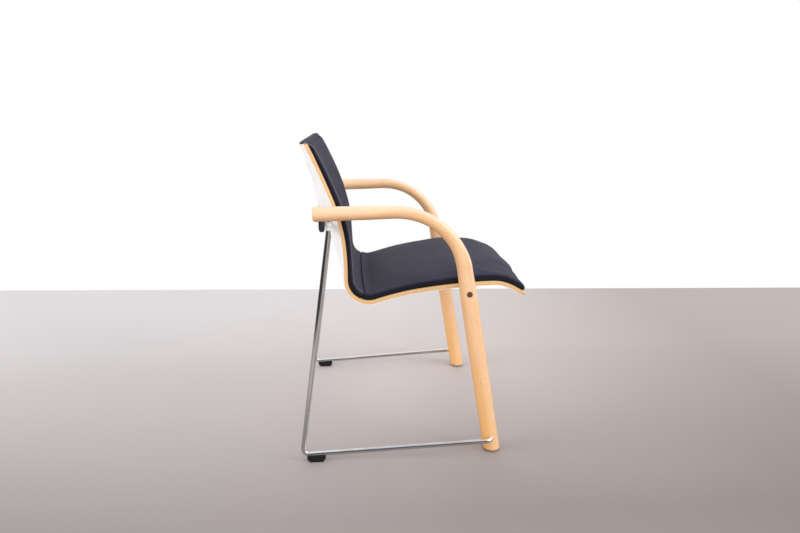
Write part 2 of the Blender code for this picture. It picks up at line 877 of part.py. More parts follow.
def skin(body, rows, flip):
    """Cover rows of points; every cell is split along the same diagonal, so layers stay parallel."""
    for below, above in zip(rows, rows[1:]):
        for i in range(SHELL_COLUMNS):
            for corners in (
                [below[i], below[i + 1], above[i + 1]],
                [below[i], above[i + 1], above[i]],
            ):
                body.faces.new(reversed(corners) if flip else corners)


def column_places(width):
    """Where a row's points lie across the chair: fixed lines inside, the row's own edges outside."""
    pitch = SHELL_WIDTH / SHELL_COLUMNS
    inner = [pitch * i - HALF_WIDTH for i in range(1, SHELL_COLUMNS)]
    return [-width] + inner + [width]


def sheet(name, start, end, half, corner, lift):
    """An open sheet at a distance from the shell's mid-plane."""
    body = bmesh.new()
    rows = []
    for run in row_runs(start, end, corner):
        width = row_half(run, start, end, half, (corner, corner))
        rows.append([body.verts.new(shell_offset(run, x, lift)) for x in column_places(width)])
    skin(body, rows, False)
    return object_from(name, body)


def thicken(item, thickness):
    """Give a sheet its thickness, half to each side."""
    solid = item.modifiers.new("thickness", "SOLIDIFY")
    solid.thickness = thickness
    solid.offset = 0.0
    solid.use_even_offset = True
    return item


def shell(shop, cutters):
    """Moulded plywood shell, seat and back in one."""
    item = sheet("seat_shell", 0.0, SHELL_RUN, HALF_WIDTH, SHELL_CORNER, 0.0)
    thicken(item, PLY_THICKNESS)
    for cutter in cutters:
        combine(item, cutter, "DIFFERENCE")
    return shop.part(smooth(item), shop.ply)


def back_face_lift():
    """Distance from the mid-plane to the outside of the laminate, as a positive size."""
    return PLY_THICKNESS / 2 + FIT_GAP + LAMINATE_THICKNESS


def shell_laminate(shop, cutters):
    """Pale laminate on the shell's underside and rear."""
    lift = -(PLY_THICKNESS / 2 + FIT_GAP + LAMINATE_THICKNESS / 2)
    item = sheet("shell_laminate", 0.0, SHELL_RUN, HALF_WIDTH, SHELL_CORNER, lift)
    thicken(item, LAMINATE_THICKNESS)
    for cutter in cutters:
        combine(item, cutter, "DIFFERENCE")
    return shop.part(smooth(item), shop.laminate)


def end_run(x):
    """Distance from the front tip to the shell's top edge, at a place across the chair."""
    beyond = abs(x) - (HALF_WIDTH - SHELL_CORNER)
    if beyond <= 0:
        return SHELL_RUN
    return SHELL_RUN - SHELL_CORNER + math.sqrt(max(SHELL_CORNER**2 - beyond**2, 0.0))


def hood(shop):
    """Cloth and foam folded over the shell's top edge, flush with its rear face."""
    rear = -back_face_lift()
    base = PLY_THICKNESS / 2 + PAD_GAP
    skirt = base + BACK_PAD_THICKNESS * HOOD_SKIRT
    crest = base + BACK_PAD_THICKNESS * HOOD_CREST
    section = [(PAD_GAP + HOOD_HEIGHT * up, rear * back) for up, back in hood_back_shares]
    section += [
        (PAD_GAP + HOOD_HEIGHT * HOOD_FRONT, base),
        (0.0, crest),
        (-HOOD_REACH, crest),
        (-HOOD_REACH, skirt),
        (PAD_GAP, skirt),
    ]
    edge = HALF_WIDTH - HOOD_SIDE
    bend = HALF_WIDTH - SHELL_CORNER
    places = column_places(edge)
    places = [-edge, -(edge + bend) / 2, -bend] + places[1:-1] + [bend, (edge + bend) / 2, edge]
    body = bmesh.new()
    rings = []
    for x in places:
        top = end_run(x)
        rings.append([body.verts.new(shell_offset(top + run, x, lift)) for run, lift in section])
    for first, second in zip(rings, rings[1:]):
        for i in range(len(section)):
            j = (i + 1) % len(section)
            body.faces.new((first[i], first[j], second[j], second[i]))
    body.faces.new(rings[0])
    body.faces.new(reversed(rings[-1]))
    bmesh.ops.triangulate(body, faces=body.faces)
    bmesh.ops.recalc_face_normals(body, faces=body.faces)
    return shop.cutter(object_from("back_pad_hood", body))


def pad(shop, name, start, end, thickness, tables, crown, ridge, noses, corners):
    """A cloth-covered foam pad: tucked base, full sides, a rolled ridge and a crowned face."""
    body = bmesh.new()
    base = PLY_THICKNESS / 2 + PAD_GAP
    half = HALF_WIDTH - PAD_SIDE_INSET
    runs = row_runs(start, end, PAD_CORNER)
    spread = end - start
    walls, table, crown_table = tables

    def layer(lift_share, tuck_share, roll_share, nose_share, swell):
        """One level of the pad as rows of points."""
        rows = []
        tuck = PAD_DRAWN_IN * tuck_share
        side = tuck + ridge * roll_share
        for run in runs:
            share = (run - start) / spread
            place = run + (tuck + noses[0] * nose_share) * max(0.0, 1 - (run - start) / PAD_EASE)
            place -= (tuck + noses[1] * nose_share) * max(0.0, 1 - (end - run) / PAD_EASE)
            rounds = [PAD_CORNER + (corner - PAD_CORNER) * roll_share for corner in corners]
            width = row_half(run, start, end, half, rounds) - side
            row = []
            for x in column_places(width):
                fall = (x / width) ** 2
                rise = crown * (1 - fall) * blend(crown_table, share) if swell else 0.0
                lift = base + thickness * blend(table, share) * lift_share + rise
                row.append(body.verts.new(shell_offset(place, x, lift)))
            rows.append(row)
        return rows

    def rim_of(rows):
        """The points round the edge of a level, in order."""
        near = [row[0] for row in rows[1:-1]]
        far = [row[-1] for row in rows[1:-1]]
        return rows[0] + far + list(reversed(rows[-1])) + list(reversed(near))

    levels = []
    for index, shares in enumerate(walls):
        levels.append(layer(*shares, swell=index == len(walls) - 1))
    skin(body, levels[0], True)
    skin(body, levels[-1], False)
    for lower, upper in zip(levels, levels[1:]):
        low_rim, high_rim = rim_of(lower), rim_of(upper)
        for i in range(len(low_rim)):
            j = (i + 1) % len(low_rim)
            body.faces.new((low_rim[i], low_rim[j], high_rim[j], high_rim[i]))
    used = {vert for vert in body.verts if vert.link_faces}
    bmesh.ops.delete(body, geom=[v for v in body.verts if v not in used], context="VERTS")
    bmesh.ops.recalc_face_normals(body, faces=body.faces)
    return shop.part(smooth(object_from(name, body)), shop.cloth)


def seat_pad(shop):
    """Seat cushion, thickest behind its rolled front edge."""
    return pad(
        shop,
        "seat_pad",
        SEAT_PAD_FRONT,
        PAD_MEET - PAD_MEET_GAP / 2,
        SEAT_PAD_THICKNESS,
        (seat_wall_shares, seat_pad_shares, seat_crown_shares),
        SEAT_PAD_CROWN,
        SEAT_PAD_RIDGE,
        (SEAT_PAD_NOSE, PAD_MEET_ROLL),
        (PAD_FRONT_CORNER, PAD_CORNER),
    )


def back_pad(shop):
    """Back cushion, with its cloth folded over the shell's top edge."""
    item = pad(
        shop,
        "back_pad",
        PAD_MEET + PAD_MEET_GAP / 2,
        SHELL_RUN - BACK_PAD_TOP,
        BACK_PAD_THICKNESS,
        (back_wall_shares, back_pad_shares, back_crown_shares),
        BACK_PAD_CROWN,
        BACK_PAD_RIDGE,
        (PAD_MEET_ROLL, BACK_PAD_NOSE),
        (PAD_CORNER, PAD_FRONT_CORNER),
    )
    return combine(item, hood(shop), "UNION")


# Crossbars


def bar_lift(radius):
    """Distance from the shell's mid-plane to a bar's centre line, through a clip's base."""
    return back_face_lift() + CLIP_GAP + CLIP_BASE + FIT_GAP + radius


def front_bar_y():
    """The front bar crosses the legs' centre lines at its own height."""
    return leg_y(FRONT_BAR_HEIGHT)


def front_bar_run():
    """Distance along the seat at which the front bar's clips stand square to the shell."""
    low, high = 0.0, SHELL_RUN / 2
    for _ in range(HALVINGS):
        middle = (low + high) / 2
        if shell_offset(middle, 0.0, -bar_lift(FRONT_BAR_RADIUS)).y < front_bar_y():
            low = middle
        else:
            high = middle
    return low


def front_bar_low():
    """Height of the front bar between its cranks, one clip's base below the seat."""
    return shell_offset(front_bar_run(), 0.0, -bar_lift(FRONT_BAR_RADIUS)).z


def rear_bar_height():
    """Height of the rear bar's centre line."""
    climb = math.tan(math.radians(ARM_RISE)) * ARM_REAR_REACH
    return ARM_REAR_HEIGHT + climb - REAR_BAR_DROP


def back_run_at(height, x, lift):
    """Distance along the shell at which a place off its back reaches a height."""
    low, high = SHELL_RUN * BACK_SHARE, SHELL_RUN
    for _ in range(HALVINGS):
        middle = (low + high) / 2
        if shell_offset(middle, x, lift).z < height:
            low = middle
        else:
            high = middle
    return low


@functools.cache
def rear_bar_y():
    """The rear bar's ends lie a set gap behind the sides of the shell's rear face."""
    lift = -back_face_lift()
    run = back_run_at(rear_bar_height(), HALF_WIDTH, lift)
    return shell_offset(run, HALF_WIDTH, lift).y + REAR_BAR_SIDE_GAP


def rear_bar_centre():
    """Middle of the rear bar, one clip's base behind the back, and its place along the shell."""
    lift = -bar_lift(REAR_BAR_RADIUS)
    run = back_run_at(rear_bar_height(), 0.0, lift)
    return shell_offset(run, 0.0, lift), run


def rear_bar_path():
    """Upturned end, straight start, run set back behind the shell, straight start, upturned end."""
    centre, run = rear_bar_centre()
    end_y = rear_bar_y()
    top = arm_height(end_y) - arm_radius(end_y) + REAR_BAR_SOCKET
    half = [
        Vector((ARM_X, end_y, top)),
        Vector((ARM_X, end_y, centre.z)),
        Vector((ARM_X - REAR_BAR_STRAIGHT, end_y, centre.z)),
        Vector((REAR_BAR_FLAT_X, centre.y, centre.z)),
    ]
    other = [Vector((-place.x, place.y, place.z)) for place in reversed(half)]
    radii = [REAR_BAR_BEND_RADIUS, REAR_BAR_KNEE_RADIUS, REAR_BAR_KNEE_RADIUS]
    return filleted(half + other, radii + radii[::-1], BAR_BEND_STEPS)


def front_bar_path():
    """Level ends in the legs, a crank down on each side, and a level run under the seat."""
    y = front_bar_y()
    inner = ARM_X - LEG_RADIUS
    places = [
        (inner + FRONT_BAR_SOCKET, FRONT_BAR_HEIGHT),
        (inner - FRONT_BAR_LEVEL, FRONT_BAR_HEIGHT),
        (inner - FRONT_BAR_LEVEL - FRONT_BAR_CRANK, front_bar_low()),
    ]
    half = [Vector((x, y, z)) for x, z in places]
    other = [Vector((-place.x, place.y, place.z)) for place in reversed(half)]
    return filleted(half + other, [FRONT_BAR_BEND_RADIUS] * 4, BAR_BEND_STEPS)


def bar_room(shop, name, path, radius):
    """The room that a crossbar takes inside the arm-legs."""
    return shop.cutter(as_mesh(tube(name, path, radius + FIT_GAP, BAR_RESOLUTION)))


def rear_crossbar(shop):
    """Black bar behind the back, its ends turned up into the arms."""
    item = tube("rear_crossbar", rear_bar_path(), REAR_BAR_RADIUS, BAR_RESOLUTION)
    return shop.part(smooth(as_mesh(item)), shop.black_steel)


def front_crossbar(shop):
    """Black bar under the seat, its ends in the legs and tapped for the leg bolts."""
    item = as_mesh(tube("front_crossbar", front_bar_path(), FRONT_BAR_RADIUS, BAR_RESOLUTION))
    for side in (-1, 1):
        combine(item, bolt_hole(shop, "bar_thread", side), "DIFFERENCE")
    return shop.part(smooth(item), shop.black_steel)


def bolt_points(side):
    """A leg bolt's outer face, the seat under its head, and its tip."""
    face = ARM_X + LEG_RADIUS - BOLT_HEAD_SINK
    seat = face - BOLT_HEAD_DEPTH
    tip = ARM_X - LEG_RADIUS + FRONT_BAR_SOCKET - BOLT_BITE
    return [Vector((side * x, front_bar_y(), FRONT_BAR_HEIGHT)) for x in (face, seat, tip)]


def bolt_hole(shop, name, side):
    """The room that a leg bolt's shank takes."""
    face, seat, tip = bolt_points(side)
    out = Vector((side, 0, 0))
    room = BOLT_SHANK_RADIUS + FIT_GAP
    return shop.cutter(round_bar(side_name(name, side), tip - out * FIT_GAP, face, room))


def bolt_cutters(shop, side):
    """Counterbore and through hole for a leg bolt."""
    face, seat, tip = bolt_points(side)
    out = Vector((side, 0, 0))
    head = round_bar(
        side_name("bolt_counterbore", side),
        seat - out * FIT_GAP,
        seat + out * LEG_RADIUS,
        BOLT_HEAD_RADIUS + FIT_GAP,
    )
    return [shop.cutter(head), bolt_hole(shop, "bolt_hole", side)]


def leg_bolt(shop, side):
    """Socket-head bolt through the leg into the front bar."""
    face, seat, tip = bolt_points(side)
    name = side_name("leg_bolt", side)
    item = round_bar(name, seat, face, BOLT_HEAD_RADIUS)
    out = Vector((side, 0, 0))
    shank = round_bar(f"{name}_shank", tip, seat + out * (BOLT_HEAD_DEPTH / 2), BOLT_SHANK_RADIUS)
    combine(item, shop.cutter(shank), "UNION")
    socket = round_bar(
        f"{name}_socket",
        face - out * BOLT_SOCKET_DEPTH,
        face + out * CUT_OVERRUN,
        BOLT_SOCKET_RADIUS,
        sides=6,
    )
    combine(item, shop.cutter(socket), "DIFFERENCE")
    return shop.part(smooth(item), shop.black_steel)


# Clips


def clip_frames():
    """Each clip's name, bar radius and matrix on the shell's outer face, Z away from the shell."""
    rear, rear_run = rear_bar_centre()
    half = HALF_WIDTH - FRONT_CLIP_INSET
    places = [
        ("front_clip_right", FRONT_BAR_RADIUS, front_bar_run(), -half),
        ("front_clip_left", FRONT_BAR_RADIUS, front_bar_run(), half),
        ("rear_clip", REAR_BAR_RADIUS, rear_run, 0.0),
    ]
    frames = []
    for name, radius, run, x in places:
        outward = -shell_normal(run, x)
        origin = shell_offset(run, x, -(back_face_lift() + CLIP_GAP))
        across = Vector((1, 0, 0))
        turn = Matrix((across, outward.cross(across), outward)).transposed().to_4x4()
        frames.append((name, radius, Matrix.Translation(origin) @ turn))
    return frames


def ring_points(height, radius, angle, steps):
    """Points of an arc about a centre at a height, from its +Y side up and over."""
    turns = [angle * i / steps for i in range(steps + 1)]
    return [(radius * math.cos(turn), height + radius * math.sin(turn)) for turn in turns]


def clip(shop, name, radius, place):
    """Plastic clip: a loop round the bar and a tail screwed to the shell."""
    bore = radius + FIT_GAP
    outer = bore + CLIP_WALL
    centre = CLIP_BASE + bore
    end = outer + CLIP_TAIL
    outline = [(end, 0.0), (end, CLIP_TAIL_THICKNESS), (outer, CLIP_TAIL_THICKNESS)]
    outline += ring_points(centre, outer, math.pi, ROUND_SIDES // 2)
    outline.append((-outer, 0.0))
    hole = ring_points(centre, bore, math.tau, ROUND_SIDES)[:-1]
    item = extruded(name, [outline, hole], CLIP_WIDTH, place @ upright_sheet())
    ease(item, CLIP_EDGE)
    for index, hole in enumerate(screw_places(radius, place)):
        combine(item, screw_room(shop, f"{name}_hole_{index + 1}", hole), "DIFFERENCE")
    return shop.part(item, shop.plastic)


def screw_places(radius, place):
    """Matrices of a clip's two screws, with Z out of the shell."""
    ahead = radius + FIT_GAP + CLIP_WALL + CLIP_TAIL / 2
    half = SCREW_SPACING / 2
    return [place @ Matrix.Translation((side * half, ahead, 0)) for side in (-1, 1)]


def screw_profile():
    """Half outline of a pan-head screw, from the head's crown down to its tip."""
    seat = CLIP_TAIL_THICKNESS + FIT_GAP
    tip = -(CLIP_GAP + LAMINATE_THICKNESS + FIT_GAP + SCREW_BITE)
    head = [
        (SCREW_HEAD_RADIUS * out, seat + SCREW_HEAD_HEIGHT * up) for out, up in screw_head_shares
    ]
    return head + [
        (SCREW_SHANK_RADIUS, seat),
        (SCREW_SHANK_RADIUS, tip + SCREW_SHANK_RADIUS),
        (0.0, tip),
    ]


def screw_room(shop, name, place):
    """The room that a clip screw's shank takes."""
    start = place @ Vector((0, 0, screw_profile()[-1][1] - FIT_GAP))
    end = place @ Vector((0, 0, CLIP_TAIL_THICKNESS + CUT_OVERRUN))
    return shop.cutter(round_bar(name, start, end, SCREW_SHANK_RADIUS + FIT_GAP, sides=SMALL_SIDES))


def clip_screw(shop, name, place):
    """Pan-head screw through a clip's tail into the ply."""
    item = turned(name, screw_profile(), place, sides=SMALL_SIDES)
    return shop.part(smooth(item), shop.zinc)


# The whole chair


def middle_y(pieces):
    """Halfway between the chair's foremost and rearmost points."""
    bpy.context.view_layer.update()
    graph = bpy.context.evaluated_depsgraph_get()
    reach = [
        (piece.matrix_world @ Vector(corner)).y
        for piece in pieces
        for corner in piece.evaluated_get(graph).bound_box
    ]
    return (min(reach) + max(reach)) / 2


def build():
    """Make every piece and stand the chair over its origin."""
    clear_scene()
    shop = Workshop()
    frames = clip_frames()
    pilots = [
        screw_room(shop, f"pilot_{name}_{index + 1}", hole)
        for name, radius, place in frames
        for index, hole in enumerate(screw_places(radius, place))
    ]
    rooms = [
        bar_room(shop, "rear_bar_room", rear_bar_path(), REAR_BAR_RADIUS),
        bar_room(shop, "front_bar_room", front_bar_path(), FRONT_BAR_RADIUS),
    ]
    for side in (-1, 1):
        bores = rooms + [rod_cutter(shop, side), nail_cutter(shop, side)]
        arm_leg(shop, side, bores + bolt_cutters(shop, side))
        side_rod(shop, side, [peg_cutter(shop, side)])
        rod_collar(shop, side)
        rear_glide(shop, side)
        foot_glide(shop, side)
        leg_bolt(shop, side)
    rear_crossbar(shop)
    front_crossbar(shop)
    shell(shop, pilots)
    shell_laminate(shop, pilots)
    seat_pad(shop)
    back_pad(shop)
    for name, radius, place in frames:
        clip(shop, name, radius, place)
        for index, hole in enumerate(screw_places(radius, place)):
            clip_screw(shop, f"{name}_screw_{index + 1}", hole)
    pieces = list(shop.parts.objects)
    stand = bpy.data.objects.new("chair_origin", None)
    shop.parts.objects.link(stand)
    stand.location.y = -middle_y(pieces)
    for item in pieces + list(shop.cutters.objects):
        item.parent = stand
    bpy.context.view_layer.update()


build()
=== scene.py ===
import logging
import math
from collections.abc import Callable, Iterable, Sequence
from dataclasses import dataclass
from enum import Enum
from functools import cached_property

import bmesh
import bpy
from mathutils import Matrix, Vector
from mathutils.bvhtree import BVHTree


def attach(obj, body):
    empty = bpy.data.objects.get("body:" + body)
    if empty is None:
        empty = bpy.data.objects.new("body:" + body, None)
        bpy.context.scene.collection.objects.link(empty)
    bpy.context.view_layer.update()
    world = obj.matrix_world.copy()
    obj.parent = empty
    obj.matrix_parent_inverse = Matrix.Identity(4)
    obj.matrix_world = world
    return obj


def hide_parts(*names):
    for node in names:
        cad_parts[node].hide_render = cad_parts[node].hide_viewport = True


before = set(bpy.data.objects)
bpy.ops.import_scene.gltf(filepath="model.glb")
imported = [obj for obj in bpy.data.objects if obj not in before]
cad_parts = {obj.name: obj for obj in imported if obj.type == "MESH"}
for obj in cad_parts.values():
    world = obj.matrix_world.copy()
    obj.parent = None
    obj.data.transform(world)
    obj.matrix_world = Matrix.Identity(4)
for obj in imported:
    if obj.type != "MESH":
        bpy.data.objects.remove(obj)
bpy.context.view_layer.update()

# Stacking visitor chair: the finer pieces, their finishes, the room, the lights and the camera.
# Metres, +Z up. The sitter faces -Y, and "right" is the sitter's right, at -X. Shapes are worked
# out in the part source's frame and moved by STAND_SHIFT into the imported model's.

log = logging.getLogger("visitor_chair")

Item = bpy.types.Object
Material = bpy.types.Material
Socket = bpy.types.NodeSocket
Vert = bmesh.types.BMVert
Ring = Sequence[Vert]
Outline = Callable[[float], float]  # distance from the axis at an angle
Span = tuple[float, float]
Scale = tuple[float, float, float]
Grade = tuple[float, float, float, float]  # from low to high, a number goes from first to second
Grain = tuple[float | Scale, float, float]  # a noise's scale, detail and roughness
Table = Sequence[Span]
Colour = tuple[float, float, float]
Tones = Sequence[tuple[float, Colour]]

STAND_SHIFT = 0.000363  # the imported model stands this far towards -Y of the source's frame
NORMAL_STEP = 0.0005
FIT_GAP = 0.0003
SHARP_ANGLE = math.radians(38.0)
BAR_SIDES = 28
CORNER_ROWS = 8  # of a sheet, round each of its corners
EDGE_STEPS = 3  # round a sheet's eased edge
COLUMN_CROWDING = 0.18
SEARCH_STEPS = 40
SOCKET_LEVELS = ((1.0, 0.0), (0.94, -0.15), (0.92, -1.0))  # (share of the outline, of the depth)
PLACE = "place"  # the vertex attribute that carries each piece's own texture place
GIVE = "give"  # the vertex attribute that says how far the cloth may swell there
TUCK = "tuck"  # the vertex attribute that grows from a pad's ridge, 0, to its base, 1
WHITE: Colour = (1.0, 1.0, 1.0)


class Side(Enum):
    """A side of the chair, by the sign of its X."""

    RIGHT = -1
    LEFT = 1

    def name_of(self, base: str) -> str:
        """The name of a piece on this side."""
        return f"{base}_{self.name.lower()}"


class Slot(Enum):
    """The record's material slots."""

    BEECH = "beech"
    PLY = "beech_ply"
    LAMINATE = "pale_laminate"
    CHROME = "chrome"
    BLACK_STEEL = "black_steel"
    ZINC = "zinc_steel"
    PLASTIC = "black_plastic"
    CLOTH = "charcoal_cloth"


# Numbers and curves


def tone(red: int, green: int, blue: int) -> Colour:
    """A screen colour as linear light.

    Args:
        red, green, blue: its levels, 0 to 255.

    Returns:
        The three levels, 0 to 1.
    """

    def linear(level: int) -> float:
        """One channel."""
        share = level / 255
        return share / 12.92 if share <= 0.04045 else ((share + 0.055) / 1.055) ** 2.4

    return linear(red), linear(green), linear(blue)


def blend(table: Table, share: float) -> float:
    """Value at a share, eased between a table's rows.

    Args:
        table: (share, value) rows with rising shares.
        share: where to look.

    Returns:
        The eased value, or the nearest end's value outside the table.
    """
    if share <= table[0][0]:
        return table[0][1]
    for (low, first), (high, second) in zip(table, table[1:]):
        if share <= high:
            part = (share - low) / (high - low)
            return first + (second - first) * part * part * (3 - 2 * part)
    return table[-1][1]


def flowing(table: Table, share: float) -> float:
    """Value at a share on a smooth curve through a table's rows, without overshoot.

    Args:
        table: (share, value) rows with rising shares.
        share: where to look, inside the table.

    Returns:
        The value of the monotone cubic curve.
    """
    slopes = [(b[1] - a[1]) / (b[0] - a[0]) for a, b in zip(table, table[1:])]
    rates = [slopes[0]]
    for before, after in zip(slopes, slopes[1:]):
        same = before * after > 0
        rates.append(2 * before * after / (before + after) if same else 0.0)
    rates.append(slopes[-1])
    share = min(max(share, table[0][0]), table[-1][0])
    for i, ((low, first), (high, second)) in enumerate(zip(table, table[1:])):
        if share <= high:
            span = high - low
            t = (share - low) / span
            rise = (3 - 2 * t) * t * t
            lead = t * (1 - t) ** 2 * rates[i] + t * t * (t - 1) * rates[i + 1]
            return first + (second - first) * rise + span * lead
    return table[-1][1]


def arc_between(centre: Vector, start: Vector, end: Vector, steps: int) -> list[Vector]:
    """Points of an arc.

    Args:
        centre: the arc's centre.
        start: its first point.
        end: its last point.
        steps: how many runs it has.

    Returns:
        The points, both ends included.
    """
    first, last = start - centre, end - centre
    angle = first.angle(last)
    axis = first.cross(last).normalized()
    return [centre + Matrix.Rotation(angle * i / steps, 3, axis) @ first for i in range(steps + 1)]


def filleted(corners: Sequence[Vector], radii: Sequence[float], steps: int) -> list[Vector]:
    """A path through straight runs with rounded corners.

    Args:
        corners: the points where the straight runs would meet, and the two ends.
        radii: the bend radius at each inner corner.
        steps: runs in each bend.

    Returns:
        The path's points.
    """
    path = [corners[0]]
    for i in range(1, len(corners) - 1):
        back = (corners[i - 1] - corners[i]).normalized()
        ahead = (corners[i + 1] - corners[i]).normalized()
        half = back.angle(ahead) / 2
        reach = radii[i - 1] / math.tan(half)
        centre = corners[i] + (back + ahead).normalized() * (radii[i - 1] / math.sin(half))
        bend = (corners[i] + back * reach, corners[i] + ahead * reach)
        path += arc_between(centre, *bend, steps)
    path.append(corners[-1])
    return path


def resampled(path: Sequence[Vector], spacing: float) -> list[Vector]:
    """Split a path's long runs.

    Args:
        path: the path's points.
        spacing: the longest run allowed.

    Returns:
        The same path with extra points.
    """
    points = [path[0]]
    for start, end in zip(path, path[1:]):
        count = max(1, math.ceil((end - start).length / spacing))
        points += [start.lerp(end, i / count) for i in range(1, count + 1)]
    return points


def quarter(steps: int) -> list[float]:
    """Angles of a quarter turn, both ends included."""
    return [math.pi / 2 * i / steps for i in range(steps + 1)]


def turns_of(sides: int) -> list[float]:
    """Angles of a ring's points, once round."""
    return [math.tau * k / sides for k in range(sides)]


def distances(points: Sequence[Vector]) -> list[float]:
    """Measure a path.

    Args:
        points: the path's points.

    Returns:
        The distance of each point along it.
    """
    run = [0.0]
    for first, second in zip(points, points[1:]):
        run.append(run[-1] + (second - first).length)
    return run


# Meshes


class Body:
    """A mesh under construction whose points each carry a texture place."""

    def __init__(self) -> None:
        """Start with no points."""
        self.mesh = bmesh.new()
        self.layer = self.mesh.verts.layers.float_vector.new(PLACE)

    def point(self, co: Vector, place: Iterable[float]) -> Vert:
        """Add a point with its texture place.

        Args:
            co: where it is.
            place: its texture place.

        Returns:
            The point.
        """
        vert = self.mesh.verts.new(co)
        vert[self.layer] = Vector(place)
        return vert

    def band(self, first: Ring, second: Ring, closed: bool = True) -> None:
        """Join two rings, or two open rows, with quads.

        Args:
            first, second: the two.
            closed: whether they are rings.
        """
        count = len(first) if closed else len(first) - 1
        for i in range(count):
            j = (i + 1) % len(first)
            self.mesh.faces.new((first[i], first[j], second[j], second[i]))

    def loft(self, rings: Sequence[Ring]) -> None:
        """Join each ring to the next."""
        for first, second in zip(rings, rings[1:]):
            self.band(first, second)

    def cap(self, ring: Ring) -> None:
        """Close a ring with a face, split into a fan round its middle.

        Args:
            ring: the ring.
        """
        middle = sum((vert.co for vert in ring), Vector()) / len(ring)
        place = sum((Vector(vert[self.layer]) for vert in ring), Vector()) / len(ring)
        hub = self.point(middle, place)
        for i, vert in enumerate(ring):
            self.mesh.faces.new((vert, ring[(i + 1) % len(ring)], hub))

    def finish(self, name: str) -> Item:
        """Turn the points and faces into a smooth object.

        Args:
            name: the object's name.

        Returns:
            The new object.
        """
        bmesh.ops.recalc_face_normals(self.mesh, faces=self.mesh.faces)
        mesh = bpy.data.meshes.new(name)
        self.mesh.to_mesh(mesh)
        self.mesh.free()
        mesh.shade_smooth()
        mesh.set_sharp_from_angle(angle=SHARP_ANGLE)
        item = bpy.data.objects.new(name, mesh)
        bpy.context.scene.collection.objects.link(item)
        return item


def swept(path: Sequence[Vector], radii: Sequence[float], sides: int) -> Body:
    """A round bar along a path.

    Args:
        path: its centre line.
        radii: its radius at each point.
        sides: how many sides each ring has.

    Returns:
        The closed body, whose texture place is (across, across, along).
    """
    body = Body()
    run = distances(path)
    rings = []
    across = Vector((1, 0, 0))
    for i, centre in enumerate(path):
        ahead = path[min(i + 1, len(path) - 1)] - path[max(i - 1, 0)]
        ahead.normalize()
        across = (across - ahead * across.dot(ahead)).normalized()
        over = ahead.cross(across)
        ring = []
        for turn in turns_of(sides):
            flat, up = radii[i] * math.cos(turn), radii[i] * math.sin(turn)
            ring.append(body.point(centre + across * flat + over * up, (flat, up, run[i])))
        rings.append(ring)
    body.loft(rings)
    body.cap(rings[0])
    body.cap(rings[-1])
    return body


def even_bar(name: str, path: Sequence[Vector], radius: float, spacing: float) -> Item:
    """A bar of one thickness along a path.

    Args:
        name: the object's name.
        path: its centre line.
        radius: its radius.
        spacing: the longest run between two of its rings.

    Returns:
        The new object.
    """
    points = resampled(path, spacing)
    return swept(points, [radius] * len(points), BAR_SIDES).finish(name)


def turned(profile: Table, sides: int, socket: Outline | None = None,
           socket_depth: float = 0.0) -> Body:
    """A body of revolution about Z, with an optional shaped socket in its top.

    Args:
        profile: (radius, height) pairs from the top down.
        sides: how many sides each ring has.
        socket: radius of the socket's outline at an angle.
        socket_depth: how deep the socket goes.

    Returns:
        The closed body, whose texture place is the point itself.
    """
    body = Body()

    def ring(reach: Outline, height: float) -> Ring:
        """Points round the axis at a height.

        Args:
            reach: how far out they are at an angle.
            height: their height.

        Returns:
            The ring.
        """
        places = [
            Vector((reach(turn) * math.cos(turn), reach(turn) * math.sin(turn), height))
            for turn in turns_of(sides)
        ]
        return [body.point(co, co) for co in places]

    rings = [ring(lambda turn: radius, height) for radius, height in profile]
    body.loft(rings)
    body.cap(rings[-1])
    inner = [rings[0]]
    if socket is not None:
        top = profile[0][1]
        inner += [
            ring(lambda turn: socket(turn) * share, top + drop * socket_depth)
            for share, drop in SOCKET_LEVELS
        ]
    body.loft(inner)
    body.cap(inner[-1])
    return body


def hexagon(radius: float) -> Outline:
    """Outline of a hexagonal socket, by the radius of its corners."""
    flat = radius * math.cos(math.pi / 6)
    return lambda turn: flat / math.cos((turn + math.pi / 6) % (math.pi / 3) - math.pi / 6)


def cross(length: float, width: float) -> Outline:
    """Outline of a cross recess.

    Args:
        length: its arms' half length.
        width: their half width.

    Returns:
        The outline.
    """

    def reach(turn: float) -> float:
        """How far the recess reaches at an angle."""
        c, s = max(abs(math.cos(turn)), 1e-6), max(abs(math.sin(turn)), 1e-6)
        return max(min(length / c, width / s), min(width / c, length / s))

    return reach


def applied(item: Item) -> Item:
    """Turn an object's modifiers into its own mesh.

    Args:
        item: the object.

    Returns:
        The same object.
    """
    bpy.context.view_layer.update()
    seen = item.evaluated_get(bpy.context.evaluated_depsgraph_get())
    mesh = bpy.data.meshes.new_from_object(seen)
    item.modifiers.clear()
    old = item.data
    item.data = mesh
    mesh.name = item.name
    bpy.data.meshes.remove(old)
    return item


def cut_by(item: Item, cutters: Sequence[Item]) -> None:
    """Cut bodies out of an object and throw the cutters away.

    Args:
        item: the object.
        cutters: the bodies.
    """
    for cutter in cutters:
        step = item.modifiers.new(cutter.name, "BOOLEAN")
        step.operation = "DIFFERENCE"
        step.solver = "EXACT"
        step.object = cutter
    applied(item)
    for cutter in cutters:
        bpy.data.objects.remove(cutter, do_unlink=True)
    item.data.shade_smooth()
    item.data.set_sharp_from_angle(angle=SHARP_ANGLE)


def along(start: Vector, end: Vector) -> Matrix:
    """Matrix that carries +Z onto the run from start to end, with its origin halfway."""
    spin = (end - start).to_track_quat("Z", "Y").to_matrix().to_4x4()
    return Matrix.Translation((start + end) / 2) @ spin


# Node materials


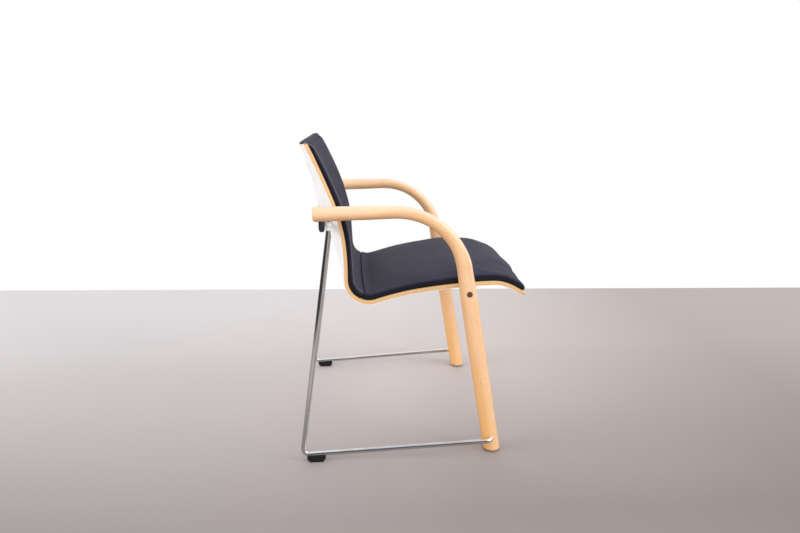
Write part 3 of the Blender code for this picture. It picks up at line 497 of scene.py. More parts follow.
class Recipe:
    """One procedural material, built node by node round a Principled shader."""

    def __init__(self, name: str) -> None:
        """Start with the shader and the output.

        Args:
            name: the material's name.
        """
        self.material = bpy.data.materials.new(name)
        self.material.use_nodes = True
        self.tree = self.material.node_tree
        self.shader = self.tree.nodes["Principled BSDF"]

    def node(self, kind: str, inputs: dict[int | str, object] | None = None,
             **settings: object) -> bpy.types.Node:
        """Add a node.

        Args:
            kind: the node's type, without the prefix that all of them share.
            inputs: what its inputs get, by number or name.
            settings: its properties.

        Returns:
            The node.
        """
        made = self.tree.nodes.new("ShaderNode" + kind)
        for key, value in settings.items():
            setattr(made, key, value)
        for key, value in (inputs or {}).items():
            self.feed(value, made.inputs[key])
        return made

    def feed(self, value: object, socket: Socket) -> None:
        """Link a socket, or set a plain value.

        Args:
            value: another node's output, a number, a colour or a vector.
            socket: the input that gets it.
        """
        if isinstance(value, Socket):
            self.tree.links.new(value, socket)
        elif isinstance(value, tuple) and len(value) == 3 and socket.type == "RGBA":
            socket.default_value = (*value, 1.0)
        else:
            socket.default_value = value

    def place(self) -> Socket:
        """The piece's own texture place."""
        return self.node("Attribute", attribute_name=PLACE).outputs["Vector"]

    def object_place(self) -> Socket:
        """The place in the object's frame."""
        return self.node("TexCoord").outputs["Object"]

    def parts_of(self, place: Socket) -> tuple[Socket, ...]:
        """A place's three numbers."""
        return tuple(self.node("SeparateXYZ", {0: place}).outputs)

    def noise(self, place: Socket, scale: float | Scale, detail: float = 3.0,
              roughness: float = 0.5, distortion: float = 0.0) -> Socket:
        """Noise at a place.

        Args:
            place: where to look.
            scale: how fine it is, in every direction or along each axis.
            detail: how many finer layers it has.
            roughness: how strong these are.
            distortion: how far they are drawn about.

        Returns:
            A number from 0 to 1.
        """
        if isinstance(scale, tuple):
            place = self.node("Mapping", {"Vector": place, "Scale": scale}).outputs[0]
            scale = 1.0
        values = {"Vector": place, "Scale": scale, "Detail": detail}
        values |= {"Roughness": roughness, "Distortion": distortion}
        return self.node("TexNoise", values).outputs["Fac"]

    def ramp(self, share: object, stops: Tones) -> Socket:
        """Colour at a share.

        Args:
            share: where to look.
            stops: (share, colour) pairs with rising shares.

        Returns:
            The colour between the two stops round the share.
        """
        made = self.node("ValToRGB", {"Fac": share})
        points = made.color_ramp.elements
        while len(points) < len(stops):
            points.new(0.5)
        for point, (where, colour) in zip(points, stops):
            point.position = where
            point.color = (*colour, 1.0)
        return made.outputs["Color"]

    def graded(self, share: object, low: float, high: float, first: float = 0.0,
               second: float = 1.0, curve: str = "SMOOTHSTEP") -> Socket:
        """A number eased from first to second as a share goes from low to high."""
        values = dict(enumerate((share, low, high, first, second)))
        return self.node("MapRange", values, interpolation_type=curve).outputs[0]

    def evenly(self, value: object, low: float, high: float) -> Socket:
        """A number's share of the way from low to high."""
        return self.graded(value, low, high, curve="LINEAR")

    def worked(self, operation: str, first: object, second: object = 0.0) -> Socket:
        """One step of arithmetic."""
        return self.node("Math", {0: first, 1: second}, operation=operation).outputs[0]

    def times(self, first: object, second: object) -> Socket:
        """The product of two numbers."""
        return self.worked("MULTIPLY", first, second)

    def plus(self, first: object, second: object) -> Socket:
        """The sum of two numbers."""
        return self.worked("ADD", first, second)

    def minus(self, first: object, second: object) -> Socket:
        """The difference of two numbers."""
        return self.worked("SUBTRACT", first, second)

    def mix(self, share: object, first: object, second: object, how: str = "MIX") -> Socket:
        """A colour between two."""
        values = {0: share, 6: first, 7: second}
        return self.node("Mix", values, data_type="RGBA", blend_type=how).outputs[2]

    def bump(self, height: Socket, strength: float, depth: float,
             under: Socket | None = None) -> Socket:
        """Surface relief.

        Args:
            height: the relief's height, from 0 to 1.
            strength: how much of it shows.
            depth: how deep it is, in metres.
            under: other relief that it lies on.

        Returns:
            The surface's normal with the relief.
        """
        values = {"Height": height, "Strength": strength, "Distance": depth}
        if under is not None:
            values["Normal"] = under
        return self.node("Bump", values).outputs["Normal"]

    def dress(self, **values: object) -> Material:
        """Set or link the shader's inputs.

        Args:
            values: what each input gets, by its name with _ for a space.

        Returns:
            The material.
        """
        sockets = {entry.name.lower().replace(" ", "_"): entry for entry in self.shader.inputs}
        for key, value in values.items():
            self.feed(value, sockets[key])
        return self.material


@dataclass(frozen=True)
class Mark:
    """A small dark mark on the wood: where it is, its half size and its depth of colour."""

    centre: Scale
    size: Scale
    depth: float


@dataclass(frozen=True)
class BeechFinish:
    """Clear-lacquered beech whose grain runs along the member."""

    name: str = "lacquered_beech"
    pale: Colour = tone(253, 213, 178)
    mid: Colour = tone(250, 204, 156)
    deep: Colour = tone(236, 184, 124)
    # warmer tone towards the foot, laid on most strongly on the rear-facing side as painted shade
    warm: Colour = tone(239, 177, 98)
    # painted shade on the beech: deeper tone on the surfaces that face down and rearward
    underside_shade: Colour = tone(222, 161, 100)
    # painted highlight on the beech: paler tone on the surfaces that face up and forward
    rubbed_and_highlight: Colour = tone(255, 226, 208)
    # painted shade: a dark line round the foot's lower edge, standing in for its contact shadow
    foot_shade: Colour = tone(70, 52, 40)
    fleck: Colour = tone(192, 136, 82)
    mark_tone: Colour = tone(92, 62, 44)
    figure: Scale = (55, 55, 2.4)
    fibres: Scale = (620, 620, 11)
    flecks: Scale = (1500, 700, 95)
    clouds: Scale = (14, 14, 5)
    lacquer: Scale = (90, 90, 22)
    ragged: float = 900.0
    warm_heights: Span = (0.02, 0.50)
    foot_shade_heights: Span = (0.0042, 0.0085)
    marks: tuple[Mark, ...] = (
        Mark((-0.2812, -0.1643, 0.1961), (0.0022, 0.0014, 0.0022), 0.75),
        Mark((0.2385, -0.1815, 0.1404), (0.0020, 0.0018, 0.0012), 0.70),
        # a darker spot on the arm's top, beside the shell's edge
        Mark((-0.2640, 0.1831, 0.6400), (0.0024, 0.0030, 0.0024), 0.45),
    )

    def material(self) -> Material:
        """Build the wood: soft figure, fine fibres, ray flecks, a thin lacquer, and painted light
        and shade.

        Returns:
            The material.
        """
        r = Recipe(self.name)
        place = r.place()
        figure = r.noise(place, self.figure, 4.0, 0.55, 0.6)
        fibres = r.noise(place, self.fibres, 3.0, 0.6)
        flecks = r.noise(place, self.flecks, 1.0, 0.4)
        clouds = r.noise(place, self.clouds, 2.0)
        colour = r.ramp(figure, ((0.30, self.deep), (0.50, self.mid), (0.72, self.pale)))
        colour = r.mix(r.graded(fibres, 0.42, 0.72, 0.0, 0.22), colour, self.deep)
        colour = r.mix(r.graded(clouds, 0.35, 0.75, 0.0, 0.28), colour, self.pale)
        fleck = r.graded(flecks, 0.62, 0.74, 0.0, 0.42)
        colour = r.mix(fleck, colour, self.fleck)
        rearward, upward = r.parts_of(r.node("NewGeometry").outputs["Normal"])[1:]
        # how far a surface faces up and forward, towards the light
        light_facing = r.minus(upward, r.times(rearward, 0.5))
        # painted highlight: paler on the surfaces that face up and forward
        colour = r.mix(r.graded(light_facing, 0.25, 0.95, 0.0, 0.48), colour, self.rubbed_and_highlight)
        # painted shade: deeper on the surfaces that face down and rearward
        colour = r.mix(r.graded(light_facing, -0.95, 0.05, 0.42, 0.0), colour, self.underside_shade)
        height = r.parts_of(r.object_place())[2]
        # warmer towards the foot, and painted shade on the sides that face the rear
        foot_warmth_and_rear_shade = r.graded(height, *self.warm_heights, 0.80, 0.0)
        foot_warmth_and_rear_shade = r.times(foot_warmth_and_rear_shade, r.graded(rearward, -0.3, 0.7, 0.35, 1.0))
        colour = r.mix(foot_warmth_and_rear_shade, colour, self.warm)
        # painted contact shade round the foot's lower edge
        colour = r.mix(r.graded(height, *self.foot_shade_heights, 0.75, 0.0), colour, self.foot_shade)
        for mark in self.marks:
            colour = self.with_mark(r, colour, mark)
        relief = r.minus(r.graded(fibres, 0.3, 0.7), r.times(fleck, 1.5))
        return r.dress(
            base_color=colour,
            roughness=r.graded(r.noise(place, self.lacquer, 2.0), 0.3, 0.7, 0.33, 0.47),
            coat_weight=0.85,
            coat_roughness=0.26,
            specular_ior_level=0.45,
            normal=r.bump(relief, 0.14, 0.00025),
        )

    def with_mark(self, r: Recipe, colour: Socket, mark: Mark) -> Socket:
        """Lay one small mark on the wood.

        Args:
            r: the wood's recipe.
            colour: the wood's colour so far.
            mark: the mark.

        Returns:
            The colour with the mark.
        """
        place, kind = r.object_place(), "VectorMath"
        away = r.node(kind, {0: place, 1: mark.centre}, operation="SUBTRACT").outputs[0]
        shares = r.node(kind, {0: away, 1: mark.size}, operation="DIVIDE").outputs[0]
        size = r.node(kind, {0: shares}, operation="LENGTH").outputs["Value"]
        reach = r.plus(size, r.times(r.noise(place, self.ragged, 2.0), 0.7))
        return r.mix(r.graded(reach, 0.9, 1.5, mark.depth, 0.0), colour, self.mark_tone)


@dataclass(frozen=True)
class PlyFinish:
    """Moulded beech ply: veneers crossed in turn, seen as layers along the edge."""

    name: str = "beech_ply_edge"
    long_grain: Colour = tone(252, 214, 160)
    end_grain: Colour = tone(232, 180, 126)
    glue: Colour = tone(186, 132, 84)
    face: Colour = tone(248, 206, 150)
    layer: float = 0.00126
    fibres: Scale = (260, 18, 900)
    pores: Scale = (1500, 1500, 900)

    def material(self) -> Material:
        """Build the layered edge from the place's lift through the sheet.

        Returns:
            The material.
        """
        r = Recipe(self.name)
        place = r.place()
        waves = r.worked("SINE", r.times(r.parts_of(place)[2], math.pi / self.layer))
        fibres = r.noise(place, self.fibres, 3.0, 0.6)
        pores = r.noise(place, self.pores, 2.0, 0.6)
        long_layer = r.mix(r.graded(fibres, 0.3, 0.75), self.long_grain, self.face)
        end_layer = r.mix(r.graded(pores, 0.35, 0.75, 0.0, 0.7), self.end_grain, self.glue)
        colour = r.mix(r.graded(waves, -0.25, 0.25), long_layer, end_layer)
        seam = r.graded(r.worked("ABSOLUTE", waves), 0.0, 0.28, 0.55, 0.0)
        return r.dress(
            base_color=r.mix(seam, colour, self.glue),
            roughness=r.graded(pores, 0.3, 0.7, 0.42, 0.58),
            coat_weight=0.15,
            coat_roughness=0.3,
            normal=r.bump(r.plus(r.times(pores, 0.5), waves), 0.12, 0.0002),
        )


@dataclass(frozen=True)
class LaminateFinish:
    """Pale laminate with a very fine pebble and a few rubbed patches."""

    name: str = "pale_laminate_back"
    pale: Colour = tone(253, 252, 252)
    warm: Colour = tone(250, 246, 246)
    rubbed_and_highlight: Colour = tone(232, 226, 225)
    clouds: float = 9.0
    pebble: float = 1400.0
    rubs: Scale = (40, 6, 30)

    def material(self) -> Material:
        """Build the laminate.

        Returns:
            The material.
        """
        r = Recipe(self.name)
        place = r.object_place()
        rubs = r.noise(place, self.rubs, 4.0, 0.6)
        colour = r.mix(r.graded(r.noise(place, self.clouds), 0.3, 0.7), self.pale, self.warm)
        return r.dress(
            base_color=r.mix(r.graded(rubs, 0.62, 0.8, 0.0, 0.22), colour, self.rubbed_and_highlight),
            roughness=r.graded(rubs, 0.3, 0.75, 0.30, 0.44),
            specular_ior_level=0.45,
            normal=r.bump(r.noise(place, self.pebble, 2.0, 0.6), 0.10, 0.00012),
        )


@dataclass(frozen=True)
class ChromeFinish:
    """Bright chrome plate, slightly dulled by handling."""

    name: str = "bright_chrome"
    bright: Colour = (0.91, 0.91, 0.93)
    dull: Colour = (0.80, 0.79, 0.80)
    clouds: float = 26.0
    haze: float = 420.0
    scuffs: Scale = (300, 30, 300)

    def material(self) -> Material:
        """Build the plating.

        Returns:
            The material.
        """
        r = Recipe(self.name)
        place = r.object_place()
        clouds = r.noise(place, self.clouds)
        haze = r.noise(place, self.haze, 3.0, 0.6)
        scuffs = r.noise(place, self.scuffs, 3.0, 0.65)
        hazy = r.graded(haze, 0.3, 0.8, 0.07, 0.15)
        scuffed = r.graded(scuffs, 0.58, 0.75, 0.0, 0.14)
        return r.dress(
            base_color=r.mix(r.graded(clouds, 0.35, 0.8, 0.0, 0.6), self.bright, self.dull),
            metallic=1.0,
            roughness=r.plus(hazy, scuffed),
            normal=r.bump(scuffs, 0.03, 0.0001),
        )


@dataclass(frozen=True)
class PatchyFinish:
    """A finish of two tones in soft patches under one fine grain.

    The patches and the grain each have a noise's scale, detail and roughness. The shares say how
    the second tone, and the surface's roughness, grow with the patches.
    """

    name: str
    main: Colour
    second: Colour
    patches: Grain
    second_share: Grade
    rough_share: Grade
    grain: Grain
    relief: Span
    metallic: float = 0.0

    def material(self) -> Material:
        """Build the finish.

        Returns:
            The material.
        """
        r = Recipe(self.name)
        place = r.object_place()
        patches = r.noise(place, *self.patches)
        return r.dress(
            base_color=r.mix(r.graded(patches, *self.second_share), self.main, self.second),
            metallic=self.metallic,
            roughness=r.graded(patches, *self.rough_share),
            normal=r.bump(r.noise(place, *self.grain), *self.relief),
        )


@dataclass(frozen=True)
class ZincFinish(PatchyFinish):
    """Zinc-plated steel, softly mottled and scratched."""

    name: str = "zinc_plate"
    main: Colour = (0.60, 0.61, 0.63)
    second: Colour = (0.34, 0.34, 0.35)
    patches: Grain = (380.0, 4.0, 0.6)
    second_share: Grade = (0.3, 0.75, 0.0, 1.0)
    rough_share: Grade = (0.25, 0.8, 0.30, 0.52)
    grain: Grain = ((260, 2400, 500), 2.0, 0.5)
    relief: Span = (0.08, 0.0001)
    metallic: float = 1.0


@dataclass(frozen=True)
class NickelFinish(ZincFinish):
    """Bright nickel, which takes its tone from the pale room."""

    name: str = "bright_nickel"
    main: Colour = (0.985, 0.98, 0.985)
    second: Colour = (0.86, 0.85, 0.86)
    metallic: float = 0.40


@dataclass(frozen=True)
class PaintedSteelFinish(PatchyFinish):
    """Black powder coat with its fine orange peel, rubbed where pieces meet."""

    name: str = "black_powder_coat"
    main: Colour = tone(44, 45, 54)
    second: Colour = tone(68, 68, 78)
    patches: Grain = (60.0, 4.0, 0.6)
    second_share: Grade = (0.45, 0.8, 0.0, 0.6)
    rough_share: Grade = (0.3, 0.75, 0.34, 0.50)
    grain: Grain = (1100.0, 2.0, 0.5)
    relief: Span = (0.22, 0.00015)


@dataclass(frozen=True)
class BoltFinish(PaintedSteelFinish):
    """Browned steel of the leg bolts."""

    name: str = "browned_bolt_steel"
    main: Colour = tone(88, 66, 62)
    second: Colour = tone(128, 106, 102)


@dataclass(frozen=True)
class PlasticFinish(PatchyFinish):
    """Black moulded plastic with a fine grain, scuffed grey in places."""

    name: str = "black_moulding"
    main: Colour = tone(24, 22, 25)
    second: Colour = tone(66, 62, 64)
    patches: Grain = ((120, 420, 260), 4.0, 0.65)
    second_share: Grade = (0.56, 0.78, 0.0, 0.5)
    rough_share: Grade = (0.3, 0.7, 0.42, 0.62)
    grain: Grain = (2200.0, 2.0, 0.5)
    relief: Span = (0.25, 0.00012)


@dataclass(frozen=True)
class ClothFinish:
    """Charcoal wool cloth: a plain weave of heathered yarn with a short nap."""

    name: str = "charcoal_wool"
    yarn: Colour = tone(73, 72, 88)
    dark_yarn: Colour = tone(52, 51, 65)
    light_fibre: Colour = tone(106, 104, 121)
    # painted shade on the cloth: darker down the pad's side band, near black in the crevice where
    # it meets the ply
    side_band_shade: Colour = tone(24, 22, 30)
    crevice_shade: Colour = tone(8, 8, 10)
    pitch: float = 0.00125
    wander: float = 240.0
    drift: float = 1.6
    warp_fibres: Scale = (900, 120, 900)
    weft_fibres: Scale = (120, 900, 900)
    nap: float = 1300.0
    clouds: float = 30.0

    def material(self) -> Material:
        """Build the cloth from its unfolded place, so that the weave turns over the edges.

        Returns:
            The material.
        """
        r = Recipe(self.name)
        place = r.place()
        drift = r.times(r.noise(place, self.wander, 2.0), self.drift)
        warp, weft = (
            r.worked("SINE", r.plus(r.times(part, math.tau / self.pitch), drift))
            for part in r.parts_of(place)[:2]
        )
        weave = r.times(warp, weft)
        warp_fibre = r.noise(place, self.warp_fibres, 3.0, 0.65)
        weft_fibre = r.noise(place, self.weft_fibres, 3.0, 0.65)
        fibre = r.mix(r.graded(weave, -0.3, 0.3), warp_fibre, weft_fibre)
        nap = r.noise(r.object_place(), self.nap, 3.0, 0.7)
        clouds = r.noise(r.object_place(), self.clouds, 5.0, 0.65)
        colour = r.mix(r.graded(fibre, 0.30, 0.70), self.dark_yarn, self.yarn)
        colour = r.mix(r.graded(fibre, 0.60, 0.82, 0.0, 0.65), colour, self.light_fibre)
        colour = r.mix(r.graded(weave, -0.9, 0.2, 0.30, 0.0), colour, self.dark_yarn)
        colour = r.mix(r.graded(clouds, 0.42, 0.75, 0.0, 0.10), colour, self.light_fibre)
        # painted shade: darker down the side band, near black at its base beside the ply
        tuck = r.node("Attribute", attribute_name=TUCK).outputs["Fac"]
        colour = r.mix(r.graded(tuck, 0.10, 0.52, 0.0, 0.88), colour, self.side_band_shade)
        return r.dress(
            base_color=r.mix(r.graded(tuck, 0.80, 0.96, 0.0, 0.90), colour, self.crevice_shade),
            roughness=r.graded(nap, 0.2, 0.8, 0.82, 0.97),
            specular_ior_level=0.14,
            sheen_weight=0.08,
            sheen_roughness=0.40,
            normal=r.bump(nap, 0.30, 0.00030, r.bump(weave, 0.35, 0.00022)),
        )


@dataclass(frozen=True)
class SeamFinish(ClothFinish):
    """The same cloth drawn tight over a seam, where it catches the light."""

    name: str = "charcoal_wool_seam"
    yarn: Colour = tone(130, 127, 140)
    dark_yarn: Colour = tone(108, 106, 119)
    light_fibre: Colour = tone(156, 153, 166)


@dataclass(frozen=True)
class FloorFinish:
    """Pale, slightly pink floor with painted light: paler towards the wall and towards the chair's
    rear.
    """

    name: str = "pale_floor"
    clouded: Colour = tone(222, 212, 210)
    speckled: Colour = tone(150, 140, 138)
    clouds: float = 1.6
    specks: float = 700.0
    # painted light: the floor's tone falls off towards the camera and towards the chair's front
    depth: Span = (-2.4, 1.15)
    depth_tones: Tones = (
        (0.0, (0.35, 0.320, 0.320)),
        (0.53, (0.32, 0.290, 0.290)),
        (0.68, (0.52, 0.482, 0.482)),
        (0.80, (0.655, 0.618, 0.622)),
        (0.94, (0.68, 0.655, 0.670)),
    )
    breadth: Span = (-1.2, 1.0)
    breadth_tones: Tones = (
        (0.0, (0.66, 0.605, 0.575)),
        (0.55, (0.99, 0.965, 0.95)),
        (1.0, (0.93, 0.93, 0.935)),
    )
    near_fall: Grade = (-0.8, -0.4, 1.25, 0.60)
    far_fall: Grade = (-1.7, -1.0, 0.08, 0.95)
    front_fall: Grade = (-0.9, 0.0, 0.85, 0.0)
    rear_fall: Grade = (1.2, 2.0, 1.0, 0.06)

    def material(self) -> Material:
        """Build the floor.

        Returns:
            The material.
        """
        r = Recipe(self.name)
        place = r.object_place()
        x, y = r.parts_of(place)[:2]
        cloud = r.noise(place, self.clouds, 4.0)
        speck = r.noise(place, self.specks, 2.0, 0.7)
        colour = r.ramp(r.evenly(x, *self.depth), self.depth_tones)
        side = r.ramp(r.evenly(y, *self.breadth), self.breadth_tones)
        colour = r.mix(1.0, colour, side, "MULTIPLY")
        colour = r.mix(r.graded(cloud, 0.3, 0.7, 0.0, 0.05), colour, self.clouded)
        colour = r.mix(r.graded(speck, 0.6, 0.8, 0.0, 0.15), colour, self.speckled)
        return r.dress(
            base_color=r.mix(1.0, colour, self.mirrored(r, x, y), "MULTIPLY"),
            roughness=r.graded(cloud, 0.3, 0.7, 0.55, 0.68),
            specular_ior_level=0.25,
            normal=r.bump(speck, 0.05, 0.0003),
        )

    def mirrored(self, r: Recipe, x: Socket, y: Socket) -> Socket:
        """How much dimmer bright metal sees the floor, which falls off round the chair.

        Args:
            r: the floor's recipe.
            x: place across the chair.
            y: place along it.

        Returns:
            White for every eye but bright metal's.
        """
        far = r.worked("MAXIMUM", r.graded(x, *self.far_fall), r.graded(y, *self.front_fall))
        fall = r.times(far, r.graded(y, *self.rear_fall))
        fall = r.times(fall, r.graded(x, *self.near_fall))
        return r.mix(r.node("LightPath").outputs["Is Glossy Ray"], WHITE, fall)


class Finishes:
    """One material for each of the chair's finishes."""

    def __init__(self) -> None:
        """Build the materials."""
        self.beech = BeechFinish().material()
        self.ply = PlyFinish().material()
        self.laminate = LaminateFinish().material()
        self.chrome = ChromeFinish().material()
        self.nickel = NickelFinish().material()
        self.zinc = ZincFinish().material()
        self.steel = PaintedSteelFinish().material()
        self.plastic = PlasticFinish().material()
        self.bolt = BoltFinish().material()
        self.cloth = ClothFinish().material()
        self.seam = SeamFinish().material()


def fitted(item: Item, material: Material, slot: Slot, nodes: Sequence[str] = ()) -> None:
    """Args:
        item: the piece, shaped in the part source's frame.
        material: its finish.
        slot: the record's slot for that finish; not used.
        nodes: the CAD nodes it stands for.
    """
    item.data.transform(item.matrix_world)
    item.matrix_world = Matrix.Identity(4)
    item.data.transform(Matrix.Translation((0, -STAND_SHIFT, 0)))
    item.data.materials.clear()
    item.data.materials.append(material)
    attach(item, "root")
    if nodes:
        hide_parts(*nodes)
    log.info("built %s with %d faces", item.name, len(item.data.polygons))


def dressed_node(node: str, material: Material) -> None:
    """Give a kept CAD node its finish.

    Args:
        node: the node's name.
        material: its finish.
    """
    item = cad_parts[node]
    if not item.material_slots:
        item.data.materials.append(material)
    for entry in item.material_slots:
        entry.material = material
    log.info("dressed %s", node)


# Forms shared by several pieces


@dataclass(frozen=True)
class ShellForm:
    """The moulded shell's surface: its side view in arcs, and the bow across its back."""

    half_width: float = 0.215
    front_y: float = -0.2845
    front_z: float = 0.4047
    front_heading: float = 39.3
    ply: float = 0.0088
    laminate: float = 0.0008
    corner: float = 0.013
    bulge: float = 0.048
    arcs: Table = (
        (0.0597, -19.5), (0.0336, -21.5), (0.1744, -6.3), (0.1231, -9.9), (0.1089, 108.6),
        (0.0486, -2.3), (0.1600, -20.1), (0.1386, -3.9),
    )
    bulge_shares: Table = (
        (0.0, 0.0), (0.48, 0.0), (0.58, 0.20), (0.70, 0.71), (0.81, 1.0), (0.91, 0.70),
        (1.0, 0.50),
    )

    @cached_property
    def length(self) -> float:
        """Length of the side view."""
        return sum(length for length, turn in self.arcs)

    @cached_property
    def knots(self) -> list[tuple[float, float, float, float, float]]:
        """Start of each arc.

        Returns:
            Its distance, Y, Z, heading and bend, arc by arc.
        """
        run, y, z = 0.0, self.front_y, self.front_z
        heading = math.radians(self.front_heading)
        starts = []
        for length, turn in self.arcs:
            bend = math.radians(turn) / length
            starts.append((run, y, z, heading, bend))
            after = heading + bend * length
            y += (math.sin(after) - math.sin(heading)) / bend
            z += (math.cos(heading) - math.cos(after)) / bend
            heading = after
            run += length
        return starts

    @property
    def rear_lift(self) -> float:
        """Distance from the ply's middle to the laminate's outer face."""
        return self.ply / 2 + FIT_GAP + self.laminate

    def profile(self, run: float) -> tuple[float, float, float]:
        """Side view of the ply's middle.

        Args:
            run: distance from the front tip.

        Returns:
            Y, Z and heading there.
        """
        index = sum(1 for knot in self.knots[1:] if run >= knot[0])
        start, y, z, heading, bend = self.knots[index]
        after = heading + bend * (run - start)
        y += (math.sin(after) - math.sin(heading)) / bend
        z += (math.cos(heading) - math.cos(after)) / bend
        return y, z, after

    def point(self, run: float, x: float) -> Vector:
        """A point of the ply's middle.

        Args:
            run: distance from the front tip.
            x: place across the chair.

        Returns:
            The point.
        """
        y, z, heading = self.profile(run)
        bow = self.bulge * blend(self.bulge_shares, run / self.length)
        bow *= 1 - (x / self.half_width) ** 2
        return Vector((x, y + math.sin(heading) * bow, z - math.cos(heading) * bow))

    def normal(self, run: float, x: float) -> Vector:
        """The surface's normal, towards the sitter.

        Args:
            run: distance from the front tip.
            x: place across the chair.

        Returns:
            A vector of length 1.
        """
        ahead = self.point(run + NORMAL_STEP, x) - self.point(run - NORMAL_STEP, x)
        across = self.point(run, x + NORMAL_STEP) - self.point(run, x - NORMAL_STEP)
        return across.cross(ahead).normalized()

    def offset(self, run: float, x: float, lift: float) -> Vector:
        """A point at a distance from the ply's middle, positive towards the sitter."""
        return self.point(run, x) + self.normal(run, x) * lift

    def end_run(self, x: float) -> float:
        """Where the top edge is, with its rounded corners.

        Args:
            x: place across the chair.

        Returns:
            Its distance from the front tip.
        """
        beyond = abs(x) - (self.half_width - self.corner)
        if beyond <= 0:
            return self.length
        return self.length - self.corner + math.sqrt(max(self.corner**2 - beyond**2, 0.0))

    def run_at(self, reached: Callable[[Vector], bool], x: float, lift: float, low: float,
               high: float) -> float:
        """The distance along the shell from which a test on the offset surface holds.

        Args:
            reached: the test.
            x: place across the chair.
            lift: distance from the ply's middle.
            low: where the search starts.
            high: where it ends.

        Returns:
            The distance from the front tip.
        """
        for _ in range(SEARCH_STEPS):
            middle = (low + high) / 2
            if reached(self.offset(middle, x, lift)):
                high = middle
            else:
                low = middle
        return low


@dataclass(frozen=True)
class FrameForm:
    """Lines and sizes of the wooden arm-legs, the rods and the crossbars."""

    shell: ShellForm = ShellForm()
    side_gap: float = 0.0235
    arm_rear_reach: float = 0.0201
    arm_rear_height: float = 0.6259
    arm_rise: float = 1.1
    foot_y: float = -0.2047
    leg_lean: float = 10.2
    bend_radius: float = 0.170
    leg_radius: float = 0.0215
    end_round: float = 0.006
    foot_height: float = 0.0045
    foot_round: float = 0.003
    bar_side_gap: float = 0.0371
    bar_drop: float = 0.0380
    front_bar_height: float = 0.4315
    bend_steps: int = 40
    end_steps: int = 7
    spacing: float = 0.010
    taper_shares: Table = (
        (0.0, 0.82), (0.11, 0.755), (0.21, 0.70), (0.28, 0.67), (0.37, 0.735), (0.45, 0.88),
        (0.54, 1.0), (1.0, 1.0),
    )

    @property
    def arm_x(self) -> float:
        """Distance of an arm's centre line from the chair's middle."""
        return self.shell.half_width + self.side_gap + self.leg_radius

    @property
    def rear_bar_height(self) -> float:
        """Height of the rear bar's centre line."""
        climb = math.tan(math.radians(self.arm_rise)) * self.arm_rear_reach
        return self.arm_rear_height + climb - self.bar_drop

    @cached_property
    def rear_bar_y(self) -> float:
        """Place of the rear bar's upturned ends.

        Returns:
            Their Y.
        """
        shell, height = self.shell, self.rear_bar_height
        low, high = shell.length * 0.6, shell.length
        place = (shell.half_width, -shell.rear_lift)
        run = shell.run_at(lambda p: p.z >= height, *place, low, high)
        return shell.offset(run, *place).y + self.bar_side_gap

    def leg_y(self, height: float) -> float:
        """Where the leg's centre line is at a height."""
        return self.foot_y + math.tan(math.radians(self.leg_lean)) * height

    def arm_height(self, y: float) -> float:
        """Height of the arm's centre line."""
        rear = self.rear_bar_y + self.arm_rear_reach
        return self.arm_rear_height + math.tan(math.radians(self.arm_rise)) * (rear - y)

    def member_path(self, side: Side) -> list[Vector]:
        """Centre line of an arm-leg.

        Args:
            side: which of the two.

        Returns:
            Points from the arm's rear end to a little below the floor.
        """
        x = side.value * self.arm_x
        rear = self.rear_bar_y + self.arm_rear_reach
        lean = math.tan(math.radians(self.leg_lean))
        rise = math.tan(math.radians(self.arm_rise))
        height = (self.arm_rear_height + rise * (rear - self.foot_y)) / (1 + rise * lean)
        below = -self.leg_radius
        corners = [
            Vector((x, rear, self.arm_rear_height)),
            Vector((x, self.leg_y(height), height)),
            Vector((x, self.leg_y(below), below)),
        ]
        path = filleted(corners, [self.bend_radius], self.bend_steps)
        span = (path[1] - path[0]).length
        ease = [
            path[0].lerp(path[1], self.end_round * (1 - math.cos(turn)) / span)
            for turn in quarter(self.end_steps)[1:]
        ]
        return [path[0]] + ease + resampled([ease[-1]] + path[1:], self.spacing)[1:]

    def member_radii(self, path: Sequence[Vector]) -> list[float]:
        """Thickness of an arm-leg.

        Args:
            path: its centre line.

        Returns:
            The radius at each point, with the rear end rounded over.
        """
        run = distances(path)
        radii = []
        for distance in run:
            radius = self.leg_radius * blend(self.taper_shares, distance / run[-1])
            reach = self.end_round - distance
            if reach > 0:
                radius -= self.end_round - math.sqrt(max(self.end_round**2 - reach**2, 0.0))
            radii.append(radius)
        return radii

    def arm_radius(self, y: float) -> float:
        """Thickness of the arm.

        Args:
            y: place along it.

        Returns:
            Its radius there.
        """
        run = distances(self.member_path(Side.RIGHT))
        share = (self.rear_bar_y + self.arm_rear_reach - y) / run[-1]
        return self.leg_radius * blend(self.taper_shares, share)

    def arm_underside(self, y: float) -> float:
        """Height of the arm's underside over a place on the Y axis."""
        return self.arm_height(y) - self.arm_radius(y)


# The chair's sub-assemblies


